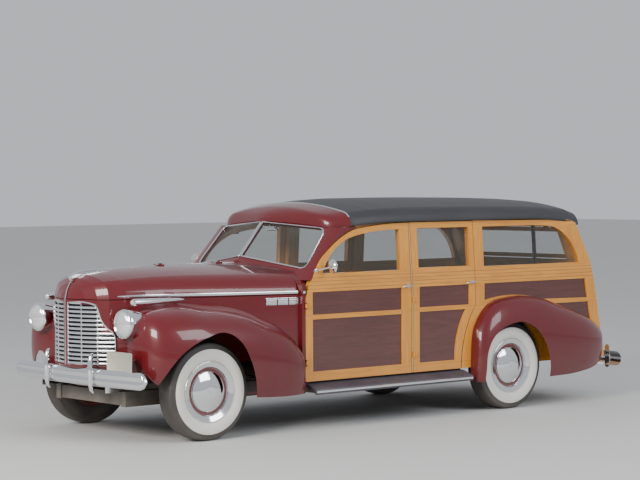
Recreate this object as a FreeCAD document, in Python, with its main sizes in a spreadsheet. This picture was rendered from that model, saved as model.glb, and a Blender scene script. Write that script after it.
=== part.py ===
import FreeCAD, Part
import math
import os
from FreeCAD import Placement, Rotation, Vector

# A wood-bodied station wagon of about 1940, drawn in millimetres.
# +Z is up, the nose faces -Y and the driver's left is +X.
# The origin is on the ground, midway along the length.
doc = FreeCAD.newDocument("StationWagon")

# Driving dimensions, in millimetres and degrees
SIZES = [
    ("wheelbase", 3073),
    ("front_overhang", 690),
    ("rear_overhang", 1437),
    ("front_track", 1480),
    ("rear_track", 1505),
    ("tyre_radius", 355),
    ("tyre_width", 174),
    ("rim_radius", 222),
    ("hubcap_radius", 143),
    ("spindle_radius", 18),
    ("kingpin_inset", 118),
    ("kingpin_radius", 22),
    ("kingpin_height", 220),
    ("running_fit", 0.05),
    ("seat_gap", 0.3),
    ("shut_gap", 5),
    ("body_half_width", 780),
    ("rail_half_width", 745),
    ("knee_height", 1030),
    ("drip_height", 1548),
    ("roof_height", 1727),
    ("roof_thickness", 18),
    ("door_bottom", 360),
    ("belt_height", 1168),
    ("belt_bottom", 1030),
    ("mid_rail_top", 860),
    ("mid_rail_height", 36),
    ("bottom_rail_top", 432),
    ("stile_width", 70),
    ("wall_thickness", 45),
    ("panel_recess", 10),
    ("panel_thickness", 15),
    ("glass_thickness", 6),
    ("cowl_to_door", 934),
    ("front_door_length", 1079),
    ("centre_strip_width", 10),
    ("rear_door_length", 685),
    ("skin_thickness", 6),
    ("hood_seam_height", 1022),
    ("hood_rear", 900),
    ("hood_hinge_height", 1247),
    ("hood_hinge_offset", 14),
    ("nose_radius", 527),
    ("frame_half_width", 420),
    ("frame_rail_width", 60),
    ("frame_rail_height", 110),
    ("jack_pad", 64),
    ("frame_rail_bottom", 250),
    ("frame_kick", 180),
    ("floor_thickness", 15),
    ("engine_half_width", 190),
    ("engine_height", 600),
    ("rear_floor_height", 560),
    ("board_outer", 888),
    ("board_height", 345),
    ("blade_height", 125),
    ("blade_thickness", 34),
    ("blade_radius", 5090),
    ("front_blade_half_length", 838),
    ("rear_blade_half_length", 830),
    ("front_blade_level", 465),
    ("rear_blade_level", 325),
    ("lamp_radius", 98),
    ("lamp_half_spacing", 557),
    ("lamp_height", 866),
    ("bar_height", 17),
    ("bar_pitch", 31),
    ("steering_wheel_radius", 215),
    ("hinge_pin_radius", 3),
    ("hinge_barrel_length", 30),
    ("hinge_proud", 8),
    ("gate_half_width", 600),
    ("liftgate_bottom", 1190),
    ("liftgate_top", 1460),
    ("tailgate_bottom", 565),
]

sheet = doc.addObject("Spreadsheet::Sheet", "Sizes")
for row, (alias, number) in enumerate(SIZES, start=1):
    sheet.set(f"A{row}", alias)
    sheet.set(f"B{row}", str(number))
    sheet.setAlias(f"B{row}", alias)
doc.recompute()


def size(alias):
    """The number that the sheet holds under this alias."""
    return float(sheet.get(alias))


GAP = size("seat_gap")
SHUT = size("shut_gap")
SKIN = size("skin_thickness")
WALL = size("wall_thickness")
HALF = size("body_half_width")
TYRE = size("tyre_radius")
FRONT_AXLE = -(size("wheelbase") + size("rear_overhang") - size("front_overhang")) / 2
REAR_AXLE = FRONT_AXLE + size("wheelbase")
FAR = 6000.0
BOTH_SIDES = (("left", 1), ("right", -1))


def front(distance):
    """Y of a station measured rearward from the front axle."""
    return FRONT_AXLE + distance


def rear(distance):
    """Y of a station measured rearward from the rear axle."""
    return REAR_AXLE + distance


DOOR_FRONT = front(size("cowl_to_door"))
CENTRE_FRONT = DOOR_FRONT + size("front_door_length") + SHUT
CENTRE_REAR = CENTRE_FRONT + size("centre_strip_width")
REAR_DOOR_FRONT = CENTRE_REAR + SHUT
POST_FRONT = REAR_DOOR_FRONT + size("rear_door_length") + SHUT


# Outlines: plain pairs are corners, and a triple ("arc", u, v) marks the middle of an arc
def outline_edges(outline):
    """Lines and three-point arcs around a closed outline, in sketch coordinates."""
    edges = []
    count = len(outline)
    index = 0
    while index < count:
        start = outline[index]
        following = outline[(index + 1) % count]
        if len(following) == 3:
            end = outline[(index + 2) % count]
            edges.append(Part.Arc(Vector(*start, 0), Vector(*following[1:], 0), Vector(*end, 0)))
            index += 2
        else:
            edges.append(Part.LineSegment(Vector(*start, 0), Vector(*following, 0)))
            index += 1
    return edges


def rectangle(low_u, high_u, low_v, high_v):
    return [(low_u, low_v), (high_u, low_v), (high_u, high_v), (low_u, high_v)]


PLANE_TURN = {
    "XY": Rotation(),
    "XZ": Rotation(Vector(1, 0, 0), 90),
    "YZ": Rotation(Vector(1, 1, 1), 120),
}


def face(plane, level, outline):
    """A flat face with this outline, parallel to the plane at the given level."""
    wire = Part.Wire([edge.toShape() for edge in outline_edges(outline)])
    depth = -level if plane == "XZ" else level
    turn = PLANE_TURN[plane]
    shape = Part.Face(wire)
    shape.Placement = Placement(turn.multVec(Vector(0, 0, depth)), turn)
    return shape


def prism(plane, low, high, outline):
    """A solid with this outline between two levels of the plane."""
    way = {"XY": Vector(0, 0, 1), "XZ": Vector(0, 1, 0), "YZ": Vector(1, 0, 0)}[plane]
    return face(plane, low, outline).extrude(way * (high - low))


def loft(plane, sections):
    """A solid through outlines, given as (level, outline), straight from each one to the next."""
    wires = [face(plane, level, outline).OuterWire for level, outline in sections]
    return Part.makeLoft(wires, True, True)


def slopes(stations, values):
    """Slope at each station, flat where the values turn, so that a blend never overshoots."""
    steps = []
    for index in range(len(stations) - 1):
        run = stations[index + 1] - stations[index]
        steps.append((values[index + 1] - values[index]) / run)
    middle = []
    for before, after in zip(steps, steps[1:]):
        middle.append(2 * before * after / (before + after) if before * after > 0 else 0.0)
    return [steps[0], *middle, steps[-1]]


def blended(table, spacing):
    """Rows of a section table with smooth rows put in wherever two lie further apart than the spacing."""
    stations = [row[0] for row in table]
    columns = list(zip(*table))[1:]
    column_slopes = [slopes(stations, column) for column in columns]
    rows = []
    for index in range(len(table) - 1):
        start, end = stations[index], stations[index + 1]
        run = end - start
        count = max(1, math.ceil(run / spacing))
        for part in range(count):
            share = part / count
            row = [start + run * share]
            for column, slope in zip(columns, column_slopes):
                low, high = column[index], column[index + 1]
                rise = share * share * (3 - 2 * share)
                lead = share * (1 - share) ** 2 * run * slope[index]
                trail = share * share * (share - 1) * run * slope[index + 1]
                row.append(low + (high - low) * rise + lead + trail)
            rows.append(tuple(row))
    return rows + [tuple(table[-1])]


def mirror(shape):
    return shape.mirror(Vector(0, 0, 0), Vector(1, 0, 0))


def fuse(shapes):
    first, *others = shapes
    return first.fuse(others).removeSplitter() if others else first


# Document helpers
NODES = []


def keep(node):
    """Lists an object as a piece of the wagon."""
    NODES.append(node)
    return node


def piece(name, shape, place=Placement()):
    """A piece whose shape is made by Part's functions."""
    node = doc.addObject("Part::Feature", name)
    node.Label = name
    solids = shape.Solids
    node.Shape = solids[0] if len(solids) == 1 else Part.makeCompound(solids)
    node.Placement = place
    return keep(node)


def bind(thing, **expressions):
    """Ties properties to expressions of the sheet's cells."""
    for name, expression in expressions.items():
        thing.setExpression(name.replace("__", "."), expression)


def draw(body, name, plane, level, outlines):
    """A sketch of closed outlines, parallel to one of the body's own planes."""
    sketch = body.newObject("Sketcher::SketchObject", name)
    planes = [item for item in body.Origin.OriginFeatures if item.Role == plane + "_Plane"]
    sketch.AttachmentSupport = [(planes[0], "")]
    sketch.MapMode = "FlatFace"
    depth = -level if plane == "XZ" else level
    sketch.AttachmentOffset = Placement(Vector(0, 0, depth), Rotation())
    for outline in outlines:
        for edge in outline_edges(outline):
            sketch.addGeometry(edge, False)
    return sketch


def new_body(name):
    body = doc.addObject("PartDesign::Body", name)
    body.Label = name
    return body


def pad(body, name, plane, level, length, outlines, symmetric=False):
    """Pads outlines by a length that is an expression of the sheet's cells."""
    feature = body.newObject("PartDesign::Pad", name)
    feature.Profile = draw(body, name + "Sketch", plane, level, outlines)
    feature.Reversed = plane == "XZ"
    if symmetric:
        feature.SideType = "Symmetric"
    bind(feature, Length=length)
    return feature


def cut_through(body, name, plane, outlines):
    """Cuts outlines right through the body."""
    feature = body.newObject("PartDesign::Pocket", name)
    feature.Profile = draw(body, name + "Sketch", plane, 0, outlines)
    feature.Type = "ThroughAll"
    feature.SideType = "Symmetric"
    return feature


def cut_from(body, name, plane, level, depth, outlines, towards_plus):
    """Cuts outlines from a level to a depth that is an expression of the sheet's cells."""
    feature = body.newObject("PartDesign::Pocket", name)
    feature.Profile = draw(body, name + "Sketch", plane, level, outlines)
    feature.Reversed = towards_plus
    bind(feature, Length=depth)
    return feature


def revolve(body, name, outline):
    """Turns an outline drawn as (axle distance, radius) about the X axis."""
    feature = body.newObject("PartDesign::Revolution", name)
    sketch = draw(body, name + "Sketch", "XZ", 0, [outline])
    feature.Profile = sketch
    feature.ReferenceAxis = (sketch, ["H_Axis"])
    bind(feature, Angle="360")
    return feature


def mirrored(name, source):
    """The right-hand twin of a left-hand piece."""
    twin = doc.addObject("Part::Mirroring", name)
    twin.Label = name
    twin.Source = source
    twin.Normal = Vector(1, 0, 0)
    return keep(twin)


def pair(name, source):
    """A left-hand piece and its right-hand twin, as two solids of one node."""
    twin = doc.addObject("Part::Mirroring", name + "_twin")
    twin.Source = source
    twin.Normal = Vector(1, 0, 0)
    both = doc.addObject("Part::Compound", name)
    both.Label = name
    both.Links = [source, twin]
    return keep(both)


# The side wall leans in above the knee, so every door and post shares this section
def wall_section(outer, inner, low, high):
    """Section of the left wall between two insets, from low to high."""
    knee = size("knee_height")
    lean = (HALF - size("rail_half_width")) / (size("drip_height") - knee)

    def inset_x(inset, height):
        return HALF - inset - max(0.0, height - knee) * lean

    return [
        (inset_x(outer, low), low),
        (inset_x(outer, knee), knee),
        (inset_x(outer, high), high),
        (inset_x(inner, high), high),
        (inset_x(inner, knee), knee),
        (inset_x(inner, low), low),
    ]


def wall_piece(outer, inner, outline):
    """A piece of the left wall between two insets, with a side outline."""
    heights = [point[-1] for point in outline]
    section = wall_section(outer, inner, min(heights) - 1, max(heights) + 1)
    stations = [point[-2] for point in outline]
    band = prism("XZ", min(stations) - 1, max(stations) + 1, section)
    return band.common(prism("YZ", 0, FAR, outline))


# Hood, nose and cowl: one smooth form, cut later where the panels meet
# station from the front axle, half width, crest height, drop to the shoulder
HOOD_SECTIONS = [
    (-688, 24, 1012, 60),
    (-672, 100, 1078, 100),
    (-645, 186, 1130, 135),
    (-600, 279, 1172, 158),
    (-547, 350, 1196, 172),
    (-430, 408, 1209, 182),
    (-150, 478, 1229, 196),
    (250, 590, 1237, 205),
    (905, 745, 1238, 208),
    (1030, 758, 1258, 228),
]
HOOD_BOTTOM = 535
HOOD_SPACING = 170


def hood_outline(width, crest, drop, bottom):
    """Section of the hood: straight sides, round shoulders and a crowned top."""
    shoulder = crest - drop
    top_edge = crest - 0.28 * drop
    return [
        (-width, bottom),
        (width, bottom),
        (width, shoulder),
        ("arc", 0.955 * width, shoulder + 0.47 * (top_edge - shoulder)),
        (0.78 * width, top_edge),
        ("arc", 0, crest),
        (-0.78 * width, top_edge),
        ("arc", -0.955 * width, shoulder + 0.47 * (top_edge - shoulder)),
        (-width, shoulder),
    ]


def hood_form(inset, bottom):
    """The hood's outer form, or the same form inset by a wall."""
    sections = []
    for station, width, crest, drop in blended(HOOD_SECTIONS, HOOD_SPACING):
        level = front(station + (inset if station < 0 else 0))
        outline = hood_outline(width - inset, crest - inset, drop, bottom)
        sections.append((level, outline))
    return loft("XZ", sections)


def hood_shell():
    outer = hood_form(0, HOOD_BOTTOM)
    inner = hood_form(SKIN, HOOD_BOTTOM - 50)
    return outer.cut(inner), outer


HOOD_SHELL, HOOD_SOLID = hood_shell()
HOOD_REAR = front(size("hood_rear"))
SEAM = size("hood_seam_height")
HINGE_X = size("hood_hinge_offset")
HINGE_Z = size("hood_hinge_height")
NOSE_Y = front(-153)


UP = Vector(0, 0, 1)
ALONG = Vector(0, 1, 0)
ACROSS = Vector(1, 0, 0)


def block(x_range, y_range, z_range):
    """A plain block between limits on each axis."""
    corner = Vector(x_range[0], y_range[0], z_range[0])
    lengths = [pair[1] - pair[0] for pair in (x_range, y_range, z_range)]
    return Part.makeBox(*lengths, corner)


# Hinges, drawn with the pin along Z, the fixed leaf towards -Y and the moving leaf towards +Y
def hinge_place(point, outward, moving_way):
    """Where a hinge sits: the surface that it lies on faces outward."""
    return Placement(point, Rotation(outward, moving_way, outward.cross(moving_way), "XYZ"))


def hinge_pin(place, leaf):
    """The pin between two ears, with a fixed leaf."""
    half = size("hinge_barrel_length") / 2
    pin = size("hinge_pin_radius")
    proud = size("hinge_proud")
    shapes = [Part.makeCylinder(pin, 2 * half + 18, Vector(0, 0, -half - 9))]
    for low in (-half - 9, half + 1):
        shapes.append(Part.makeCylinder(proud - 2, 8, Vector(0, 0, low)))
        shapes.append(block((-proud - 1, 0), (-leaf, -2), (low, low + 8)))
    shape = fuse(shapes)
    shape.Placement = place
    return shape


def hinge_barrel(place, leaf, depth=1):
    """The barrel that runs on the pin, with a moving leaf."""
    half = size("hinge_barrel_length") / 2
    pin = size("hinge_pin_radius") + size("running_fit")
    proud = size("hinge_proud")
    barrel = Part.makeCylinder(proud - 1, 2 * half, Vector(0, 0, -half))
    barrel = barrel.fuse(block((-proud - depth, 0), (0, leaf), (-half, half)))
    shape = barrel.cut(Part.makeCylinder(pin, 2 * half, Vector(0, 0, -half)))
    shape.Placement = place
    return shape


# Wheels: a disc wheel with a domed hubcap, and a tyre around it
def wheel_outline():
    cap = size("hubcap_radius")
    rim = size("rim_radius")
    bore = size("spindle_radius") + size("running_fit")
    return [
        (88, 0),
        ("arc", 81, 0.62 * cap),
        (60, cap),
        (50, cap),
        (46, cap + 7),
        (50, 172),
        (68, 180),
        (76, 204),
        (80, rim - 6),
        ("arc", 78.5, rim - 2.5),
        (75, rim - 1),
        (71, rim - 1),
        (66, rim - 10),
        (60, rim - 17),
        (22, rim - 17),
        (10, rim - 30),
        (-20, rim - 30),
        (-32, rim - 17),
        (-62, rim - 17),
        (-66, rim - 10),
        (-72, rim - 1),
        (-77, rim - 5),
        (-70, rim - 24),
        (-34, rim - 24),
        (-22, rim - 37),
        (8, rim - 37),
        (24, 172),
        (30, cap + 17),
        (-55, cap + 17),
        (-55, cap + 9),
        (18, cap + 9),
        (18, 50),
        (-30, 50),
        (-30, bore),
        (40, bore),
        (40, 0),
    ]


def tyre_outline():
    rim = size("rim_radius")
    half = size("tyre_width") / 2
    outer_half = [
        (59.5, rim - 17 + GAP),
        (65.5, rim - 10 + GAP),
        (70, rim),
        (72, rim + 1),
        ("arc", half, 0.5 * (rim + TYRE) - 12),
        (half - 12, TYRE - 26),
        ("arc", half - 19, TYRE - 9),
        (half - 34, TYRE - 3),
        ("arc", 0, TYRE),
    ]
    inner_half = []
    for item in reversed(outer_half[:-1]):
        if len(item) == 3:
            inner_half.append(("arc", -item[1], item[2]))
        else:
            inner_half.append((-item[0], item[1]))
    return outer_half + inner_half


def wheel_place(side, track, station):
    turn = Rotation(Vector(0, 0, 1), 0 if side > 0 else 180)
    return Placement(Vector(side * track / 2, station, TYRE), turn)


def wheels():
    corners = [
        ("front", size("front_track"), FRONT_AXLE),
        ("rear", size("rear_track"), REAR_AXLE),
    ]
    for corner, track, station in corners:
        for hand, side in BOTH_SIDES:
            for kind, outline in (("wheel", wheel_outline()), ("tyre", tyre_outline())):
                body = new_body(f"{kind}_{corner}_{hand}")
                revolve(body, f"{kind.title()}{corner.title()}{hand.title()}", outline)
                body.Placement = wheel_place(side, track, station)
                keep(body)


# Knuckles: kingpin barrel, backing plate, spindle and steering arm, drawn about the wheel centre
PLATE_OUTER = -62
PLATE_THICK = 4


def knuckles():
    inset = size("kingpin_inset")
    height = size("kingpin_height")
    spindle = size("spindle_radius")
    barrel = Part.makeCylinder(size("kingpin_radius"), height, Vector(-inset, 0, -height / 2), UP)
    plate = Part.makeCylinder(size("hubcap_radius") + 2, PLATE_THICK, Vector(PLATE_OUTER - PLATE_THICK, 0, 0), ACROSS)
    boss = Part.makeCylinder(34, inset + PLATE_OUTER, Vector(-inset, 0, 0), ACROSS)
    pin = Part.makeCylinder(spindle, 38 - PLATE_OUTER, Vector(PLATE_OUTER - 1, 0, 0), ACROSS)
    arm = block((-inset - 14, -inset + 14), (0, 150), (-80, -64))
    left = fuse([barrel, plate, boss, pin, arm])
    for hand, side in BOTH_SIDES:
        place = Placement(Vector(side * size("front_track") / 2, FRONT_AXLE, TYRE), Rotation())
        piece(f"knuckle_{hand}", left if side > 0 else mirror(left), place)


# Chassis frame: two rails with a rise over the rear axle, joined by crossmembers
# station from the front axle at each bend, share of the kick reached there
RAIL_BENDS = [(-480, 0.0), (2600, 0.0), (2800, 1.0), (3420, 1.0), (3700, 0.75), (4180, 0.75)]
CROSS_STATIONS = [-430, 900, 2250, 3560, 4130]
OUTRIGGER_TOP = 292
JACK_STATIONS = (500, 2500)
ENGINE_MOUNTS = (60, 480)
ENGINE_BOTTOM = 375


def rail_bottom(station):
    low = size("frame_rail_bottom")
    for (first, share), (second, next_share) in zip(RAIL_BENDS, RAIL_BENDS[1:]):
        if station <= second:
            part = (station - first) / (second - first)
            return low + size("frame_kick") * (share + (next_share - share) * part)
    return low + size("frame_kick") * RAIL_BENDS[-1][1]


def chassis_frame():
    height = size("frame_rail_height")
    width = size("frame_rail_width")
    middle = size("frame_half_width")
    lower = [(front(station), rail_bottom(station)) for station, share in RAIL_BENDS]
    upper = [(station, level + height) for station, level in reversed(lower)]
    rails = [prism("YZ", x - width / 2, x + width / 2, lower + upper) for x in (-middle, middle)]
    reach = middle - width / 2
    beams = []
    for station in CROSS_STATIONS:
        level = rail_bottom(station)
        beams.append(block((-reach, reach), (front(station - 40), front(station + 40)), (level + 8, level + height - 8)))
    for station in ENGINE_MOUNTS:
        span = (front(station - 25), front(station + 25))
        beams.append(block((-reach, reach), span, (rail_bottom(station) + 75, ENGINE_BOTTOM - GAP)))
    outriggers = []
    for station in (1050, 1750, 2400):
        for side in (-1, 1):
            near, far = sorted((side * (middle + width / 2), side * (size("board_outer") - 18)))
            span = (front(station - 20), front(station + 20))
            outriggers.append(block((near, far), span, (OUTRIGGER_TOP - 24, OUTRIGGER_TOP)))
    pads = []
    half = size("jack_pad") / 2
    for station in JACK_STATIONS:
        level = rail_bottom(station)
        span = (front(station - half), front(station + half))
        pads += [block((x - half, x + half), span, (level - 6, level)) for x in (-middle, middle)]
    piece("chassis_frame", fuse([*rails, *beams, *outriggers, *pads]))


def front_suspension():
    """Crossmember, towers and the arms that carry each kingpin."""
    middle = size("frame_half_width")
    outer = middle + size("frame_rail_width") / 2
    kingpin = size("front_track") / 2 - size("kingpin_inset")
    half_pin = size("kingpin_height") / 2
    low_eye = TYRE - half_pin - GAP
    high_eye = TYRE + half_pin + GAP
    thick = 16
    shapes = [block((-middle, middle), (front(-70), front(70)), (low_eye - thick, size("frame_rail_bottom") - GAP))]
    for side in (1, -1):
        for level, root in ((low_eye - thick, middle - 30), (high_eye, outer + GAP)):
            outline = [
                (side * root, front(-130)),
                (side * (kingpin + 4), front(-24)),
                ("arc", side * (kingpin + 26), front(0)),
                (side * (kingpin + 4), front(24)),
                (side * root, front(130)),
            ]
            shapes.append(prism("XY", level, level + thick, outline))
        tower = (side * (outer + GAP), side * (outer + 46))
        shapes.append(block(sorted(tower), (front(-60), front(60)), (low_eye - thick, high_eye + thick)))
    piece("front_suspension", fuse(shapes))


def rear_axle():
    """Axle tube, final drive, torque tube, stub shafts, backing plates and springs' seats."""
    half = size("rear_track") / 2
    centre = Vector(0, REAR_AXLE, TYRE)
    tube = Part.makeCylinder(42, 2 * (half + PLATE_OUTER - PLATE_THICK), centre - ACROSS * (half + PLATE_OUTER - PLATE_THICK), ACROSS)
    shaft = Part.makeCylinder(size("spindle_radius"), 2 * (half + 38), centre - ACROSS * (half + 38), ACROSS)
    drive = Part.makeCylinder(115, 130, centre - ACROSS * 65, ACROSS)
    cheeks = [Part.makeCone(110, 50, 90, centre + ACROSS * side * 64, ACROSS * side) for side in (-1, 1)]
    reach = front(CROSS_STATIONS[2] + 40) + GAP
    torque_way = Vector(0, -1, -0.08).normalize()
    torque = Part.makeCone(44, 30, 1000, centre, torque_way)
    torque = torque.common(block((-FAR, FAR), (reach, REAR_AXLE), (0, FAR)))
    shapes = [tube, shaft, drive, torque, *cheeks]
    for side in (-1, 1):
        plate = side * (half + PLATE_OUTER)
        shapes.append(Part.makeCylinder(size("hubcap_radius") + 2, PLATE_THICK, Vector(plate, REAR_AXLE, TYRE), ACROSS * -side))
        seat = block((side * 420 - 45, side * 420 + 45), (rear(-50), rear(50)), (TYRE + 36, rail_bottom(3073) - GAP))
        shapes.append(seat)
    piece("rear_axle", fuse(shapes))


def engine_block():
    """Straight-eight engine and gearbox as one plain block."""
    engine = doc.addObject("Part::Box", "engine_block")
    engine.Label = "engine_block"
    bind(engine, Length="2 * Sizes.engine_half_width", Width="Sizes.hood_rear - 50", Height="Sizes.engine_height")
    corner = Vector(-size("engine_half_width"), front(-200), ENGINE_BOTTOM)
    engine.Placement = Placement(corner, Rotation())
    keep(engine)


def tank_and_exhaust():
    body = new_body("fuel_tank")
    low = rail_bottom(3950) - 70
    near = front(CROSS_STATIONS[3] + 40) + GAP
    far = front(CROSS_STATIONS[4] - 40) - GAP
    outline = [
        (near, low + 40),
        ("arc", near + 12, low + 12),
        (near + 40, low),
        (far - 40, low),
        ("arc", far - 12, low + 12),
        (far, low + 40),
        (far, low + 170),
        (near, low + 170),
    ]
    pad(body, "TankShell", "YZ", 0, "1.7 * Sizes.frame_half_width", [outline], symmetric=True)
    keep(body)
    path_points = [
        Vector(-size("engine_half_width") - GAP, front(600), 440),
        Vector(-250, front(600), 440),
        Vector(-250, front(800), 215),
        Vector(-250, front(2900), 215),
        Vector(-480, front(3500), 215),
        Vector(-500, front(4330), 230),
    ]
    path = Part.makePolygon(path_points)
    ring = Part.Wire(Part.makeCircle(24, path_points[0], path_points[1] - path_points[0]))
    pipe = path.makePipeShell([ring], True, False, 1)
    silencer = Part.makeCylinder(62, 650, Vector(-250, front(1400), 215), ALONG)
    hanger_span = (-498, -size("frame_half_width") - size("frame_rail_width") / 2 - GAP)
    hanger = block(hanger_span, (front(4085), front(4105)), (225, rail_bottom(4095) + 40))
    piece("exhaust_pipe", fuse([pipe, silencer, hanger]))


# Fenders
FENDER_SPACING = 130
# station from the front axle, inner and outer half width, crown height, bottom height
FRONT_FENDER_SECTIONS = [
    (-536, 560, 660, 760, 620),
    (-522, 500, 735, 850, 545),
    (-492, 440, 800, 905, 480),
    (-440, 400, 850, 955, 440),
    (-350, 390, 893, 990, 400),
    (-180, 420, 922, 1003, 360),
    (120, 500, 935, 968, 320),
    (450, 600, 932, 888, 290),
    (700, 680, 905, 782, 282),
    (860, 730, 862, 630, 282),
    (925, 750, 815, 520, 282),
]
# station from the rear axle, inner and outer half width, crown height, bottom height
REAR_FENDER_SECTIONS = [
    (-425, 700, 800, 470, 250),
    (-400, 700, 845, 620, 245),
    (-330, 700, 895, 745, 245),
    (-210, 700, 925, 838, 245),
    (20, 700, 940, 888, 245),
    (280, 700, 940, 882, 245),
    (560, 700, 925, 830, 245),
    (830, 700, 893, 740, 250),
    (1000, 700, 850, 640, 275),
    (1065, 700, 805, 560, 320),
]


def fender_outline(inner, outer, crown, bottom):
    """Section of a pontoon fender: round crown, full side, turned under at the bottom."""
    width = outer - inner
    height = crown - bottom
    return [
        (inner, bottom),
        (outer - 0.10 * width, bottom),
        ("arc", outer - 0.015 * width, bottom + 0.20 * height),
        (outer, bottom + 0.45 * height),
        ("arc", outer - 0.12 * width, bottom + 0.83 * height),
        (outer - 0.50 * width, crown),
        ("arc", outer - 0.78 * width, crown + 0.02 * height),
        (inner, crown - 0.03 * height),
    ]


def fender_form(table, axle, inset, drop):
    sections = []
    for station, inner, outer, crown, bottom in blended(table, FENDER_SPACING):
        shift = inset if station < 0 else -inset
        outline = fender_outline(inner, outer - inset, crown - inset, bottom - drop)
        sections.append((axle + station + shift, outline))
    return loft("XZ", sections)


# wheel openings seen from the side, from each axle
FRONT_OPENING = [
    (-560, 200),
    (-395, 420),
    ("arc", -300, 640),
    (-60, 762),
    ("arc", 225, 690),
    (385, 200),
]
REAR_OPENING = [
    (-345, 200),
    (-338, 400),
    ("arc", -255, 615),
    (-60, 692),
    ("arc", 170, 600),
    (285, 400),
    (290, 200),
]


def shifted(outline, distance):
    """The same outline moved along its first coordinate."""
    result = []
    for item in outline:
        if len(item) == 3:
            result.append(("arc", item[1] + distance, item[2]))
        else:
            result.append((item[0] + distance, item[1]))
    return result


def fenders():
    outer = fender_form(FRONT_FENDER_SECTIONS, FRONT_AXLE, 0, 0)
    inner = fender_form(FRONT_FENDER_SECTIONS, FRONT_AXLE, SKIN, 60)
    opening = prism("YZ", 560, FAR, shifted(FRONT_OPENING, FRONT_AXLE))
    left = outer.cut(inner).cut(opening).cut(HOOD_SOLID)
    body_edge = block((0, HALF + GAP), (front(880), front(1100)), (0, 1200))
    left = max(left.cut(body_edge).Solids, key=lambda solid: solid.Volume)
    piece("front_fenders", Part.makeCompound([left, mirror(left)]))
    outer = fender_form(REAR_FENDER_SECTIONS, REAR_AXLE, 0, 0)
    inner = fender_form(REAR_FENDER_SECTIONS, REAR_AXLE, SKIN, 60)
    opening = prism("YZ", 860, FAR, shifted(REAR_OPENING, REAR_AXLE))
    wall = block((0, HALF + GAP), (rear(-900), rear(1500)), (0, 1200))
    left = outer.cut(inner).cut(opening).cut(wall)
    left = max(left.Solids, key=lambda solid: solid.Volume)
    piece("rear_fenders", Part.makeCompound([left, mirror(left)]))


# Grille openings: half width inside the nose, low and high level
GRILLE_TIERS = [(24, 386, 545, 783), (24, 300, 783, 985)]
GRILLE_POSTS = [(24, 34), (146, 156), (268, 278)]


def nose_ring(outer, inner, low, high):
    """Part of a ring that follows the nose's round front."""
    centre = Vector(0, NOSE_Y, low)
    ring = Part.makeCylinder(outer, high - low, centre).cut(Part.makeCylinder(inner, high - low, centre))
    return ring.common(block((0, outer), (NOSE_Y - outer, NOSE_Y), (low, high)))


def grille_window(grow):
    """The space behind the left half of the grille."""
    shapes = []
    for near, far, low, high in GRILLE_TIERS:
        shapes.append(block((near - grow, far + grow), (NOSE_Y - 700, NOSE_Y), (low - grow, high + grow)))
    return fuse(shapes)


def steering_room():
    """Room for the left front wheel as it steers."""
    near = size("kingpin_inset")
    inner = size("front_track") / 2 - near - 0.4 * TYRE
    return Part.makeCylinder(TYRE + 60, HALF - inner, Vector(inner, FRONT_AXLE, TYRE), ACROSS)


def nose_shell():
    """Painted nose and hood sides, left open at the top for the hood and at the grille."""
    low = block((-FAR, FAR), (front(-900), HOOD_REAR), (0, SEAM - SHUT))
    middle = block((-HINGE_X + SHUT, HINGE_X - SHUT), (front(-900), HOOD_REAR), (0, FAR))
    shell = fuse([HOOD_SHELL.common(low), HOOD_SHELL.common(middle)])
    window = grille_window(0)
    room = steering_room()
    shell = shell.cut(fuse([window, mirror(window), room, mirror(room)]))
    piece("nose_shell", max(shell.Solids, key=lambda solid: solid.Volume))


def grille():
    """Rounded horizontal bars on upright posts, each half following the nose."""
    radius = size("nose_radius")
    shapes = []
    for near, far, low, high in GRILLE_TIERS:
        count = int((high - low) / size("bar_pitch"))
        for index in range(count):
            level = low + 8 + index * size("bar_pitch")
            bar = nose_ring(radius + 5, radius - 12, level, level + size("bar_height"))
            shapes.append(bar.common(block((near + GAP, far - GAP), (NOSE_Y - 700, NOSE_Y), (0, FAR))))
    posts = nose_ring(radius - 4, radius - 24, GRILLE_TIERS[0][2] + GAP, GRILLE_TIERS[1][3] - GAP)
    for near, far in GRILLE_POSTS:
        shapes.append(posts.common(block((near + GAP, far), (NOSE_Y - 700, NOSE_Y), (0, FAR))))
    tall = nose_ring(radius - 4, radius - 24, GRILLE_TIERS[0][2] + GAP, GRILLE_TIERS[0][3] - GAP)
    shapes.append(tall.common(block((372, 386 - GAP), (NOSE_Y - 700, NOSE_Y), (0, FAR))))
    left = fuse(shapes)
    piece("grille", Part.makeCompound([left, mirror(left)]))


def hood_hinge_places(side):
    """The two hinges of one hood leaf, beside the centre moulding."""
    places = []
    for station in HOOD_HINGES:
        point = Vector(side * HINGE_X, front(station), HINGE_Z)
        places.append(hinge_place(point, UP, Vector(side, 0, 0)))
    return places


def hood_halves():
    """Two hood leaves that lift about the centre hinge line."""
    region = block((HINGE_X - 0.5, FAR), (front(-900), HOOD_REAR - SHUT), (SEAM, FAR))
    leaf = HOOD_SHELL.common(region)
    leaf = max(leaf.Solids, key=lambda solid: solid.Volume)
    leaf = leaf.fuse([hinge_barrel(place, 34, 8) for place in hood_hinge_places(1)])
    for hand, side in BOTH_SIDES:
        piece(f"hood_{hand}", leaf if side > 0 else mirror(leaf))


HOOD_HINGES = (150, 700)


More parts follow.
